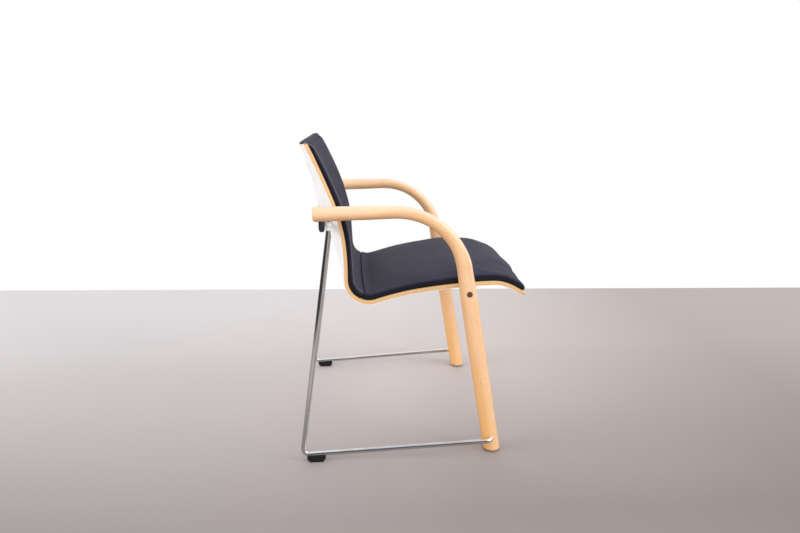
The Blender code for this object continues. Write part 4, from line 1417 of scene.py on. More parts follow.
@dataclass
class SideFrame:
    """One side of the chair's frame: arm-leg, bright rod, collar, glides and leg bolt."""

    side: Side
    form: FrameForm
    finishes: Finishes
    rod_radius: float = 0.006
    rod_splay: float = 0.023
    rail_splay: float = 0.033
    rod_top_step: float = 0.0185
    rod_bend_reach: float = 0.0623
    rail_rear: float = 0.0170
    rail_front: float = 0.0415
    rod_bend: float = 0.016
    curl_radius: float = 0.022
    curl_angle: float = 65.0
    rod_insert: float = 0.016
    rod_socket: float = 0.014
    collar_length: float = 0.021
    collar_shares: Table = (
        (0.0061, 1.0), (0.0067, 0.98), (0.0069, 0.90), (0.0067, 0.80), (0.0062, 0.73),
        (0.0061, 0.62), (0.0062, 0.52), (0.0066, 0.40), (0.0069, 0.20), (0.0069, 0.06),
        (0.0066, -0.10), (0.0062, -0.22), (0.0061, -0.30), (0.0062, -0.38), (0.0066, -0.50),
        (0.0068, -0.66), (0.0068, -0.78), (0.0066, -0.91), (0.0064, -0.98), (0.0061, -1.0),
    )
    foot_glide_radius: float = 0.0150
    foot_glide_height: float = 0.0042
    foot_glide_shares: Table = (
        (0.96, 1.0), (1.0, 0.90), (1.0, 0.55), (0.97, 0.34), (0.88, 0.14), (0.78, 0.04),
        (0.70, 0.0),
    )
    bolt_radius: float = 0.0070
    bolt_depth: float = 0.0050
    bolt_sink: float = 0.0006
    bolt_socket: float = 0.0028
    bolt_socket_depth: float = 0.0028
    bolt_rim: Table = ((0.0012, 0.0), (0.0004, 0.0002), (0.0, 0.0009))
    bore_reach: float = 0.004
    bore_chamfer: float = 0.0006
    wood_sides: int = 48
    bore_sides: int = 48
    collar_sides: int = 48
    glide_sides: int = 56
    bolt_sides: int = 72
    rod_steps: int = 18
    rod_spacing: float = 0.030

    def build(self) -> None:
        """Build every piece of this side."""
        self.arm_leg()
        self.rod()
        self.collar()
        self.foot_glide()
        self.leg_bolt()
        dressed_node(self.side.name_of("rear_glide"), self.finishes.plastic)

    def arm_leg(self) -> None:
        """Bentwood member: armrest, bend and leg, cut level at the foot."""
        name = self.side.name_of("arm_leg_wood")
        path = self.form.member_path(self.side)
        body = swept(path, self.form.member_radii(path), self.wood_sides)
        mesh = body.mesh
        cut = bmesh.ops.bisect_plane(
            mesh,
            geom=mesh.verts[:] + mesh.edges[:] + mesh.faces[:],
            plane_co=(0, 0, self.form.foot_height),
            plane_no=(0, 0, 1),
            clear_inner=True,
        )
        rim = [part for part in cut["geom_cut"] if isinstance(part, bmesh.types.BMEdge)]
        bmesh.ops.contextual_create(mesh, geom=rim)
        bmesh.ops.bevel(
            mesh, geom=rim, offset=self.form.foot_round, segments=4, affect="EDGES",
            clamp_overlap=True,
        )
        item = body.finish(name)
        cut_by(item, [self.counterbore()])
        nodes = [self.side.name_of("arm_leg")]
        fitted(item, self.finishes.beech, Slot.BEECH, nodes)

    def bolt_place(self, depth: float) -> Vector:
        """A place on the leg bolt's axis.

        Args:
            depth: how far below the leg's outer face.

        Returns:
            The point.
        """
        form = self.form
        x = self.side.value * (form.arm_x + form.leg_radius - depth)
        return Vector((x, form.leg_y(form.front_bar_height), form.front_bar_height))

    def counterbore(self) -> Item:
        """Cutter for the bolt head's room, with a small chamfer at the leg's face.

        Returns:
            The cutter.
        """
        radius = self.bolt_radius + FIT_GAP
        low = self.bolt_place(self.bolt_sink + self.bolt_depth + FIT_GAP)
        high = self.bolt_place(-self.bore_reach)
        half = (high - low).length / 2
        flared = radius + self.bore_reach + self.bore_chamfer
        face = half - self.bore_reach - self.bore_chamfer
        profile = ((flared, half), (radius, face), (radius, -half))
        item = turned(profile, self.bore_sides).finish(self.side.name_of("counterbore"))
        item.data.transform(along(low, high))
        return item

    def rod_corners(self) -> list[Vector]:
        """Corner points of the rod.

        Returns:
            The points, from inside the arm to inside the leg.
        """
        form, side = self.form, self.side.value
        bar_y = form.rear_bar_y
        top_y = bar_y - self.rod_top_step
        top = Vector((side * form.arm_x, top_y, form.arm_underside(top_y)))
        bend_x = side * (form.arm_x + self.rod_splay)
        bend = Vector((bend_x, bar_y + self.rod_bend_reach, self.rail_rear))
        upper = top + (top - bend).normalized() * self.rod_socket
        angle = math.radians(self.curl_angle)
        front_x = side * (form.arm_x + self.rail_splay)
        out = self.rail_splay - form.leg_radius
        curl_y = form.leg_y(self.rail_front) + out / math.tan(angle)
        curl = Vector((front_x, curl_y, self.rail_front))
        heading = Vector((-side * math.sin(angle), -math.cos(angle), 0.0))
        inside = out / math.sin(angle) + self.rod_insert
        end = curl + heading * max(inside, self.curl_radius * math.tan(angle / 2))
        return [upper, bend, curl, end]

    def rod(self) -> None:
        """Rear leg, floor rail and inward curl in one bright rod."""
        name = self.side.name_of("bright_rod")
        path = filleted(self.rod_corners(), [self.rod_bend, self.curl_radius], self.rod_steps)
        item = even_bar(name, path, self.rod_radius, self.rod_spacing)
        fitted(item, self.finishes.chrome, Slot.CHROME, [self.side.name_of("side_rod")])

    def collar(self) -> None:
        """Turned collar under the arm."""
        upper, bend = self.rod_corners()[:2]
        axis = (upper - bend).normalized()
        top = upper - axis * self.rod_socket
        slope = math.sin(axis.angle(Vector((0, 0, 1))))
        seat = top - axis * (FIT_GAP + self.rod_radius * slope)
        foot = seat - axis * self.collar_length
        half = self.collar_length / 2
        profile = [(radius, half * share) for radius, share in self.collar_shares]
        item = turned(profile, self.collar_sides).finish(self.side.name_of("turned_collar"))
        item.matrix_world = along(foot, seat)
        fitted(item, self.finishes.nickel, Slot.CHROME, [self.side.name_of("rod_collar")])

    def foot_glide(self) -> None:
        """Domed steel glide under the wooden leg."""
        height = self.foot_glide_height
        profile = [
            (self.foot_glide_radius * out, height * up) for out, up in self.foot_glide_shares
        ]
        item = turned(profile, self.glide_sides).finish(self.side.name_of("domed_glide"))
        place = (self.side.value * self.form.arm_x, self.form.leg_y(height), 0.0)
        item.matrix_world = Matrix.Translation(place)
        fitted(item, self.finishes.zinc, Slot.ZINC, [self.side.name_of("foot_glide")])

    def leg_bolt(self) -> None:
        """Socket-head bolt in the leg's outer face."""
        radius, depth = self.bolt_radius, self.bolt_depth
        profile = [(radius - inset, depth / 2 - drop) for inset, drop in self.bolt_rim]
        profile.append((radius, -depth / 2))
        socket = hexagon(self.bolt_socket)
        body = turned(profile, self.bolt_sides, socket, self.bolt_socket_depth)
        item = body.finish(self.side.name_of("bolt_head"))
        seat = self.bolt_place(self.bolt_sink + depth)
        item.matrix_world = along(seat, self.bolt_place(self.bolt_sink))
        fitted(item, self.finishes.bolt, Slot.BLACK_STEEL, [self.side.name_of("leg_bolt")])


def row_half(run: float, ends: Span, half: float, corners: Span) -> float:
    """Half width of a row, drawn in at rounded corners.

    Args:
        run: the row's distance.
        ends: the two ends' distances.
        half: half width between the corners.
        corners: their radii at the ends.

    Returns:
        The half width.
    """
    width = half
    for corner, inset in zip(corners, (run - ends[0], ends[1] - run)):
        reach = corner - inset
        if reach > 0:
            width -= corner - math.sqrt(max(corner**2 - reach**2, 0.0))
    return width


def row_places(start: float, end: float, corner: float, step: float) -> list[float]:
    """Rows between two ends, closer at the corners.

    Args:
        start, end: the two ends.
        corner: the corners' radius.
        step: the widest gap.

    Returns:
        Their distances.
    """
    low = [start + corner * (1 - math.cos(turn)) for turn in quarter(CORNER_ROWS)]
    count = math.ceil((end - start - 2 * corner) / step)
    inner = [low[-1] + (end - start - 2 * corner) * i / count for i in range(1, count)]
    return low + inner + [start + end - run for run in reversed(low)]


def crowded(share: float, crowding: float) -> float:
    """A place across a row, -1 to 1, drawn towards the nearer side."""
    return (1 - crowding) * share + crowding * math.sin(share * math.pi / 2)


def column_shares(count: int) -> list[float]:
    """Places across a row from -1 to 1, closer at the two sides."""
    flat = [2 * i / count - 1 for i in range(count + 1)]
    return [crowded(share, COLUMN_CROWDING) for share in flat]


def level_rows(runs: Sequence[float], shares: Sequence[float], whole: bool,
               point: Callable[[float, float], Vert]) -> list[Ring]:
    """One level of a stack as rows of points.

    Args:
        runs: distance of each row.
        shares: places across a row.
        whole: whether the level has all its points, or only those round its rim.
        point: makes the point at a distance and a place across.

    Returns:
        The rows.
    """
    ends = (shares[0], shares[-1])
    last = len(runs) - 1
    return [
        [point(run, share) for share in (shares if whole or i in (0, last) else ends)]
        for i, run in enumerate(runs)
    ]


def stacked(body: Body, levels: Sequence[list[Ring]]) -> None:
    """Close a stack of levels: a skin below, a skin above and walls round the rims.

    Args:
        body: the body.
        levels: each level's rows, from the lowest up.
    """
    for rows in (levels[0], levels[-1]):
        for below, above in zip(rows, rows[1:]):
            body.band(below, above, closed=False)

    def rim(rows: list[Ring]) -> Ring:
        """The points round a level's edge.

        Args:
            rows: the level's rows.

        Returns:
            The points, in order.
        """
        near = [row[0] for row in rows[1:-1]]
        far = [row[-1] for row in rows[1:-1]]
        return rows[0] + far + rows[-1][::-1] + near[::-1]

    body.loft([rim(rows) for rows in levels])


@dataclass
class Shell:
    """The moulded ply shell and the pale laminate on its underside and rear."""

    form: ShellForm
    finishes: Finishes
    edge_round: float = 0.0007
    columns: int = 40
    step: float = 0.009

    def build(self) -> None:
        """Build both sheets."""
        half = self.form.ply / 2
        levels = self.rounded(-half, half, self.edge_round)
        ply = self.sheet("ply_shell", levels)
        fitted(ply, self.finishes.ply, Slot.PLY, ["seat_shell"])
        levels = self.rounded(-self.form.rear_lift, -half, self.form.laminate * 0.4)
        facing = self.sheet("laminate_back", levels)
        fitted(facing, self.finishes.laminate, Slot.LAMINATE, ["shell_laminate"])

    @staticmethod
    def rounded(low: float, high: float, radius: float) -> list[tuple[float, float]]:
        """Levels of a sheet with eased edges.

        Args:
            low, high: its two faces.
            radius: how far the edges are eased.

        Returns:
            (lift, inset) pairs.
        """
        foot = [
            (low + radius * (1 - math.cos(turn)), radius * (1 - math.sin(turn)))
            for turn in quarter(EDGE_STEPS)
        ]
        middle = [(low + (high - low) * share, 0.0) for share in (0.3, 0.5, 0.7)]
        head = [(low + high - lift, inset) for lift, inset in reversed(foot)]
        return foot + middle + head

    def sheet(self, name: str, levels: Sequence[tuple[float, float]]) -> Item:
        """A closed sheet over the whole shell.

        Args:
            name: the object's name.
            levels: (lift, inset) pairs from the rear face to the front.

        Returns:
            The new object.
        """
        form = self.form
        ends = (0.0, form.length)
        runs = row_places(*ends, form.corner, self.step)
        body = Body()
        shares = column_shares(self.columns)
        stack = []
        for lift, inset in levels:

            def point(run: float, share: float) -> Vert:
                """One point of this level."""
                place = min(max(run, inset), form.length - inset)
                width = row_half(run, ends, form.half_width, (form.corner, form.corner)) - inset
                x = width * share
                return body.point(form.offset(place, x, lift), (x, place, lift))

            whole = (lift, inset) in (levels[0], levels[-1])
            stack.append(level_rows(runs, shares, whole, point))
        stacked(body, stack)
        return body.finish(name)


@dataclass(frozen=True)
class PadForm:
    """One cloth-covered pad, laid out along the shell."""

    name: str
    node: str
    ends: Span
    thickness: float
    thickness_shares: Table
    crown: float
    crown_shares: Table
    noses: Span
    corners: Span
    ridge: float
    roll_shares: Table
    crisp: float
    flat: float
    base_corners: Span
    side_inset: float = 0.0012
    drawn_in: float = 0.0044
    corner: float = 0.012
    ease: float = 0.060
    gap: float = 0.0005
    shell: ShellForm = ShellForm()
    tuck_shares: Table = ((0.0, 1.0), (0.12, 0.60), (0.26, 0.24), (0.45, 0.04), (0.6, 0), (1, 0))
    nose_shares: Table = ((0.0, 0.0), (0.20, 0.03), (0.55, 0.17), (0.84, 0.46), (1.0, 1.0))

    @property
    def base(self) -> float:
        """Lift of the pad's underside."""
        return self.shell.ply / 2 + self.gap

    def height(self, run: float) -> float:
        """Thickness of the pad at a row."""
        share = (run - self.ends[0]) / (self.ends[1] - self.ends[0])
        return self.thickness * blend(self.thickness_shares, share)

    def layout(self, run: float, level: float) -> tuple[float, float]:
        """Where a row of a level lies.

        Args:
            run: the row's distance along the shell.
            level: the level as a share of the thickness.

        Returns:
            The row's own distance after the ends are rolled, and its half width.
        """
        start, end = self.ends
        tuck = self.drawn_in * flowing(self.tuck_shares, level)
        roll = flowing(self.roll_shares, level)
        nose = flowing(self.nose_shares, level)
        place = run
        place += (tuck + self.noses[0] * nose) * max(0.0, 1 - (run - start) / self.ease)
        place -= (tuck + self.noses[1] * nose) * max(0.0, 1 - (end - run) / self.ease)
        rounds = [low + (high - low) * roll for low, high in zip(self.base_corners, self.corners)]
        half = self.shell.half_width - self.side_inset
        width = row_half(run, self.ends, half, rounds) - tuck - self.ridge * roll
        return place, width

    def surface(self, run: float, share: float, level: float, swell: bool) -> Vector:
        """A point of the pad.

        Args:
            run: the row's distance along the shell.
            share: place across the row, -1 to 1.
            level: share of the thickness.
            swell: whether the crown is added.

        Returns:
            The point.
        """
        place, width = self.layout(run, level)
        lift = self.base + self.height(run) * level
        if swell:
            part = (run - self.ends[0]) / (self.ends[1] - self.ends[0])
            lift += self.crown * (1 - abs(share) ** self.flat) * blend(self.crown_shares, part)
        return self.shell.offset(place, width * share, lift)


@dataclass
class Pads:
    """The two upholstered pads, the cloth folded over the back's top and the side seams."""

    shell: ShellForm
    finishes: Finishes
    meet: float = 0.430
    meet_gap: float = 0.0008
    seat_front: float = 0.0045
    back_top: float = 0.0035
    slack: float = 0.0012
    cap: float = 0.0034
    pressure: float = 4.0
    frames: int = 20
    evened: int = 6
    columns: int = 52
    step: float = 0.0080
    levels: Sequence[float] = (0.0, 0.08, 0.20, 0.38, 0.55, 0.70, 0.80, 0.88, 0.94, 0.98, 1.0)
    hood_height: float = 0.0030
    hood_side: float = 0.0045
    hood_crest: float = 0.0114
    hood_fall: float = 0.0016
    hood_turn: float = 0.060
    hood_rise: float = 0.0012
    hood_wedge: float = 0.80
    seam_radius: float = 0.0010
    seam_start: Table = (
        (0.0046, -0.0018), (0.0040, -0.0006), (0.0034, 0.0008), (0.0026, 0.0022),
        (0.0014, 0.0038),
    )
    meet_ease: float = 0.030
    top_ease: float = 0.050
    seam_levels: Table = ((0.0, 0.22), (0.003, 0.52), (0.008, 0.80), (0.016, 0.93), (0.05, 0.96))
    seam_steps: int = 110
    seam_crowding: float = 1.3
    seam_taper: float = 0.45
    seam_clearance: float = 0.004
    seam_sides: int = 12
    hood_columns: int = 64
    hood_crowding: float = 0.1
    hood_bevel: float = 0.0009
    held_levels: int = 2
    sharp: float = math.radians(70)
    weave: tuple[tuple[str, float | bool | str], ...] = (
        ("quality", 4),
        ("mass", 0.3),
        ("tension_stiffness", 30.0),
        ("compression_stiffness", 30.0),
        ("shear_stiffness", 12.0),
        ("bending_stiffness", 1.0),
        ("use_pressure", True),
    )

    def build(self) -> None:
        """Build the seat pad, the back pad, its hood and its seams."""
        seat, back = self.seat_form(), self.back_form()
        cushions = [self.pad(form) for form in (seat, back)]
        for side in Side:
            fitted(self.seam(back, side, cushions[1]), self.finishes.seam, Slot.CLOTH)
        for form, item in zip((seat, back), cushions):
            fitted(item, self.finishes.cloth, Slot.CLOTH, [form.node])
        hood = self.hood(back)
        fitted(hood, self.finishes.cloth, Slot.CLOTH)

    def seat_form(self) -> PadForm:
        """The seat cushion, thickest behind its rolled front edge.

        Returns:
            Its layout.
        """
        return PadForm(
            name="seat_cushion",
            node="seat_pad",
            ends=(self.seat_front, self.meet - self.meet_gap / 2),
            thickness=0.0235,
            thickness_shares=(
                (0.0, 0.88), (0.10, 0.92), (0.17, 0.94), (0.24, 1.00), (0.31, 1.05),
                (0.38, 1.07), (0.45, 1.03), (0.54, 0.95), (0.66, 0.90), (0.78, 0.89),
                (0.90, 0.90), (1.0, 0.98),
            ),
            crown=0.0115,
            crown_shares=((0.0, 0.80), (0.22, 1.0), (0.50, 0.95), (0.80, 0.80), (1.0, 0.0)),
            noses=(0.030, 0.0007),
            corners=(0.024, 0.004),
            ridge=0.0125,
            crisp=0.0,
            flat=4.0,
            base_corners=(0.012, 0.003),
            roll_shares=((0.0, 0.0), (0.20, 0.01), (0.55, 0.12), (0.84, 0.42), (1.0, 1.0)),
        )

    def back_form(self) -> PadForm:
        """The back cushion.

        Returns:
            Its layout.
        """
        return PadForm(
            name="back_cushion",
            node="back_pad",
            ends=(self.meet + self.meet_gap / 2, self.shell.length - self.back_top),
            thickness=0.0185,
            thickness_shares=(
                (0.0, 1.0), (0.10, 0.95), (0.20, 0.77), (0.28, 0.73), (0.46, 0.78),
                (0.54, 0.80), (0.62, 0.85), (0.70, 0.81), (0.78, 0.76), (0.87, 0.69),
                (1.0, 0.64),
            ),
            crown=0.004,
            crown_shares=((0.0, 0.0), (0.25, 1.0), (0.80, 1.0), (1.0, 0.30)),
            noses=(0.0007, 0.026),
            corners=(0.004, 0.004),
            ridge=0.0045,
            crisp=0.75,
            flat=2.0,
            base_corners=(0.003, 0.005),
            roll_shares=((0.0, 0.0), (0.55, 0.0), (0.84, 0.16), (1.0, 1.0)),
        )

    def pad(self, form: PadForm) -> Item:
        """Lay out a pad slightly slack, then let its cloth swell.

        Args:
            form: the pad's layout.

        Returns:
            The pad, ready to be placed.
        """
        runs = row_places(*form.ends, form.corner, self.step)
        shares = column_shares(self.columns)
        body = Body()
        give = body.mesh.verts.layers.float.new(GIVE)
        tuck = body.mesh.verts.layers.float.new(TUCK)
        slack = self.slack
        stack = []
        for index, level in enumerate(self.levels):

            def point(run: float, share: float) -> Vert:
                """One point of this level, drawn in by the slack that it may take up."""
                held = index < self.held_levels
                free = 0.0 if held else self.freedom(form, run, share, level)
                co = form.surface(run, share, level, level == self.levels[-1])
                co -= self.outward(form, run, share, level) * slack * free
                down = form.height(run) * (1 - level)
                start_weight = max(0.0, 1 - (run - form.ends[0]) / form.corner)
                end_weight = max(0.0, 1 - (form.ends[1] - run) / form.corner)
                u = form.layout(run, level)[1] * share
                u += self.sideways(share) * down
                v = run + down * (end_weight - start_weight)
                vert = body.point(co, (u, v, down))
                vert[give] = free
                vert[tuck] = 1 - level
                return vert

            whole = level in (self.levels[0], self.levels[-1])
            stack.append(level_rows(runs, shares, whole, point))
        stacked(body, stack)
        item = body.finish(form.name)
        item.data.set_sharp_from_angle(angle=self.sharp)
        self.swell(item)
        item.data.attributes.remove(item.data.attributes[GIVE])
        finer = item.modifiers.new("finer", "SUBSURF")
        finer.levels = finer.render_levels = 1
        return applied(item)

    def freedom(self, form: PadForm, run: float, share: float, level: float) -> float:
        """How far a point of a pad may swell.

        Args:
            form: the pad's layout.
            run: the point's row.
            share: its place across the row.
            level: its share of the thickness.

        Returns:
            A share of the cap: none where the pads meet, and little on a crisp ridge.
        """
        reach = min(abs(run - self.meet) / self.meet_ease, 1.0)
        near = abs(share) ** 10 if level == self.levels[-1] else max(0.0, (level - 0.6) / 0.4)
        top = (form.ends[1] - run) / self.top_ease + 0.3 if form.crisp else 1.0
        free = min(1.0, level * 3) * reach * reach * (3 - 2 * reach)
        return free * min(1.0, top) * (1 - form.crisp * near)

    @staticmethod
    def sideways(share: float) -> float:
        """How far a place across a row, -1 to 1, belongs to the pad's side."""
        return math.copysign(abs(share) ** 12, share)

    def outward(self, form: PadForm, run: float, share: float, level: float) -> Vector:
        """Rough outward direction, for drawing the cloth in before it swells.

        Args:
            form: the pad's layout.
            run: the point's row.
            share: its place across the row.
            level: its share of the thickness.

        Returns:
            The direction.
        """
        place, width = form.layout(run, level)
        normal = form.shell.normal(place, width * share)
        roll = flowing(form.roll_shares, level) if level < 1.0 else 1.0
        side = Vector((self.sideways(share), 0, 0))
        return normal * roll + side * (1 - roll)

    def swell(self, item: Item) -> None:
        """Let a pad's cloth swell under pressure and keep the result in its mesh.

        Args:
            item: the pad, with the share of the swelling that each point may take.
        """
        shares = [entry.value for entry in item.data.attributes[GIVE].data]
        group = item.vertex_groups.new(name="held")
        group.add([i for i, share in enumerate(shares) if share == 0.0], 1.0, "REPLACE")
        cloth = item.modifiers.new("swell", "CLOTH")
        settings = cloth.settings
        for key, value in self.weave:
            setattr(settings, key, value)
        settings.uniform_pressure_force = self.pressure
        settings.vertex_group_mass = "held"
        settings.effector_weights.gravity = 0.0
        cloth.collision_settings.use_collision = False
        cloth.point_cache.frame_start = 1
        cloth.point_cache.frame_end = self.frames
        scene = bpy.context.scene
        for number in range(1, self.frames + 1):
            scene.frame_set(number)
        seen = item.evaluated_get(bpy.context.evaluated_depsgraph_get())
        steps = [a.co - b.co for a, b in zip(seen.data.vertices, item.data.vertices)]
        beside = [[] for _ in steps]
        for edge in item.data.edges:
            first, second = edge.vertices
            beside[first].append(second)
            beside[second].append(first)
        for _ in range(self.evened):
            steps = [
                (step + sum((steps[j] for j in near), Vector()) / len(near)) / 2
                for step, near in zip(steps, beside)
            ]
        for vert, step, share in zip(item.data.vertices, steps, shares):
            limit = self.cap * share
            vert.co += step * min(1.0, limit / max(step.length, 1e-9))
        item.modifiers.clear()
        item.vertex_groups.clear()
        scene.frame_set(1)
        farthest = max(step.length for step in steps)
        log.info("swelled %s by up to %.1f mm before the cap", item.name, farthest * 1000)

    def hood(self, form: PadForm) -> Item:
        """Cloth and foam folded over the shell's top edge, flush with its rear face.

        Args:
            form: the back pad's layout.

        Returns:
            The hood.
        """
        shell = self.shell
        rear = -shell.rear_lift
        base = form.base
        low, high = form.gap, form.gap + self.hood_height
        outline = [
            (low + 0.0008, rear * 0.68),
            (low + 0.0013, rear * 0.80),
            (low + 0.0019, rear * 0.84),
            (high - 0.0008, rear * 0.84),
            (high - 0.0003, rear * 0.78),
            (high, rear * 0.60),
            (high, 0.0),
            (high - 0.0004, base),
            (0.0014, self.hood_crest - 0.0016),
            (0.0006, self.hood_crest - 0.0004),
            (-0.0004, self.hood_crest),
            (-0.0060, self.hood_crest + 0.0010),
            (-0.0110, self.hood_crest + 0.0018),
            (-0.0135, self.hood_crest + 0.0008),
            (-0.0120, base + 0.0030),
            (0.0, base + 0.0012),
            (low, base + 0.0004),
        ]
        edge = shell.half_width - self.hood_side
        count = self.hood_columns
        body = Body()
        rings = []
        path = [0.0]
        for (r0, l0), (r1, l1) in zip(outline, outline[1:]):
            path.append(path[-1] + math.hypot(r1 - r0, l1 - l0))
        for i in range(count + 1):
            share = 2 * i / count - 1
            x = edge * crowded(share, self.hood_crowding)
            end = max(0.0, (abs(x) - edge + self.hood_turn) / self.hood_turn)
            top = shell.end_run(x)
            ring = []
            fall = self.hood_fall * (x / edge) ** 4
            for (run, lift), distance in zip(outline, path):
                lift -= fall * max(0.0, lift / self.hood_crest)
                if lift <= 0:
                    run += (self.hood_rise + (high - run) * self.hood_wedge) * end
                    lift *= 1 - self.hood_wedge * end
                ring.append(body.point(shell.offset(top + run, x, lift), (x, distance, 0.0)))
            rings.append(ring)
        body.loft(rings)
        body.cap(rings[0])
        body.cap(rings[-1])
        item = body.finish("back_hood")
        bevel = item.modifiers.new("soft_ends", "BEVEL")
        bevel.width = self.hood_bevel
        bevel.segments = 3
        bevel.limit_method = "ANGLE"
        bevel.angle_limit = math.radians(50)
        return applied(item)

    def seam(self, form: PadForm, side: Side, cushion: Item) -> Item:
        """Raised seam where the back pad's side band meets its face.

        Args:
            form: the back pad's layout.
            side: which of the pad's two seams.
            cushion: the pad as it has swelled, on whose surface the seam lies.

        Returns:
            The seam, from the hood's rear corner along the ridge down to the seat.
        """
        mesh = cushion.data
        tree = BVHTree.FromPolygons(
            [vert.co for vert in mesh.vertices], [face.vertices[:] for face in mesh.polygons]
        )
        end, count = form.ends[1], self.seam_steps
        edge = self.shell.half_width - self.hood_side
        x = side.value * (edge + self.seam_radius / 2)
        top = self.shell.end_run(edge)
        path = [self.shell.offset(top + run, x, lift) for run, lift in self.seam_start]
        for i in range(count + 1):
            share = (i / count) ** self.seam_crowding
            down = (end - form.ends[0] - self.seam_clearance) * share
            point = form.surface(end - down, side.value, flowing(self.seam_levels, down), False)
            found, normal, *_ = tree.find_nearest(point)
            path.append(found + normal * self.seam_radius * 0.5)
        for _ in range(2):
            inner = [(a + b + c) / 3 for a, b, c in zip(path, path[1:], path[2:])]
            path = [path[0], *inner, path[-1]]
        name = side.name_of("back_seam")
        radii = [
            self.seam_radius * (1 - self.seam_taper * i / count) for i in range(len(path))
        ]
        return swept(path, radii, self.seam_sides).finish(name)


@dataclass
class Crossbars:
    """The black bars behind the back and under the seat."""

    form: FrameForm
    finishes: Finishes
    rear_radius: float = 0.0070
    front_radius: float = 0.0060
    socket: float = 0.012
    rear_bend: float = 0.0125
    rear_straight: float = 0.095
    rear_flat_x: float = 0.050
    rear_knee: float = 0.120
    front_level: float = 0.0040
    front_crank: float = 0.0100
    front_bend: float = 0.0100
    clip_gap: float = 0.0007
    clip_base: float = 0.0024
    rear_steps: int = 16
    front_steps: int = 10
    spacing: float = 0.020

    def build(self) -> None:
        """Build both bars."""
        for name, node, path, radius in (
            ("rear_bar", "rear_crossbar", self.rear_path(), self.rear_radius),
            ("front_bar", "front_crossbar", self.front_path(), self.front_radius),
        ):
            item = even_bar(name, path, radius, self.spacing)
            fitted(item, self.finishes.steel, Slot.BLACK_STEEL, [node])

    def lift(self, radius: float) -> float:
        """Distance from the ply's middle to a bar's centre line, through a clip's base."""
        return self.form.shell.rear_lift + self.clip_gap + self.clip_base + FIT_GAP + radius

    @staticmethod
    def mirrored(half: Sequence[Vector]) -> list[Vector]:
        """A path's left half followed by its right half."""
        return list(half) + [Vector((-p.x, p.y, p.z)) for p in reversed(half)]

    @cached_property
    def rear_run(self) -> float:
        """Where the rear bar crosses the shell's middle.

        Returns:
            Distance along the shell.
        """
        shell, height = self.form.shell, self.form.rear_bar_height
        low, high = shell.length * 0.6, shell.length
        return shell.run_at(lambda p: p.z >= height, 0.0, -self.lift(self.rear_radius), low, high)

    @cached_property
    def front_run(self) -> float:
        """Where the front bar crosses the shell.

        Returns:
            Distance along the shell.
        """
        form = self.form
        y, high = form.leg_y(form.front_bar_height), form.shell.length / 2
        return form.shell.run_at(lambda p: p.y >= y, 0.0, -self.lift(self.front_radius), 0.0, high)

    def rear_path(self) -> list[Vector]:
        """Upturned end, straight start, run set back behind the shell, and the same again.

        Returns:
            The centre line.
        """
        form, shell = self.form, self.form.shell
        centre = shell.offset(self.rear_run, 0.0, -self.lift(self.rear_radius))
        y = form.rear_bar_y
        top = form.arm_underside(y) + self.socket
        half = [
            Vector((form.arm_x, y, top)),
            Vector((form.arm_x, y, centre.z)),
            Vector((form.arm_x - self.rear_straight, y, centre.z)),
            Vector((self.rear_flat_x, centre.y, centre.z)),
        ]
        radii = [self.rear_bend, self.rear_knee, self.rear_knee]
        return filleted(self.mirrored(half), radii + radii[::-1], self.rear_steps)

    def front_path(self) -> list[Vector]:
        """Level ends in the legs, a crank down on each side, and a level run under the seat.

        Returns:
            The centre line.
        """
        form, shell = self.form, self.form.shell
        y = form.leg_y(form.front_bar_height)
        low = shell.offset(self.front_run, 0.0, -self.lift(self.front_radius)).z
        inner = form.arm_x - form.leg_radius
        half = [
            Vector((inner + self.socket, y, form.front_bar_height)),
            Vector((inner - self.front_level, y, form.front_bar_height)),
            Vector((inner - self.front_level - self.front_crank, y, low)),
        ]
        return filleted(self.mirrored(half), [self.front_bend] * 4, self.front_steps)


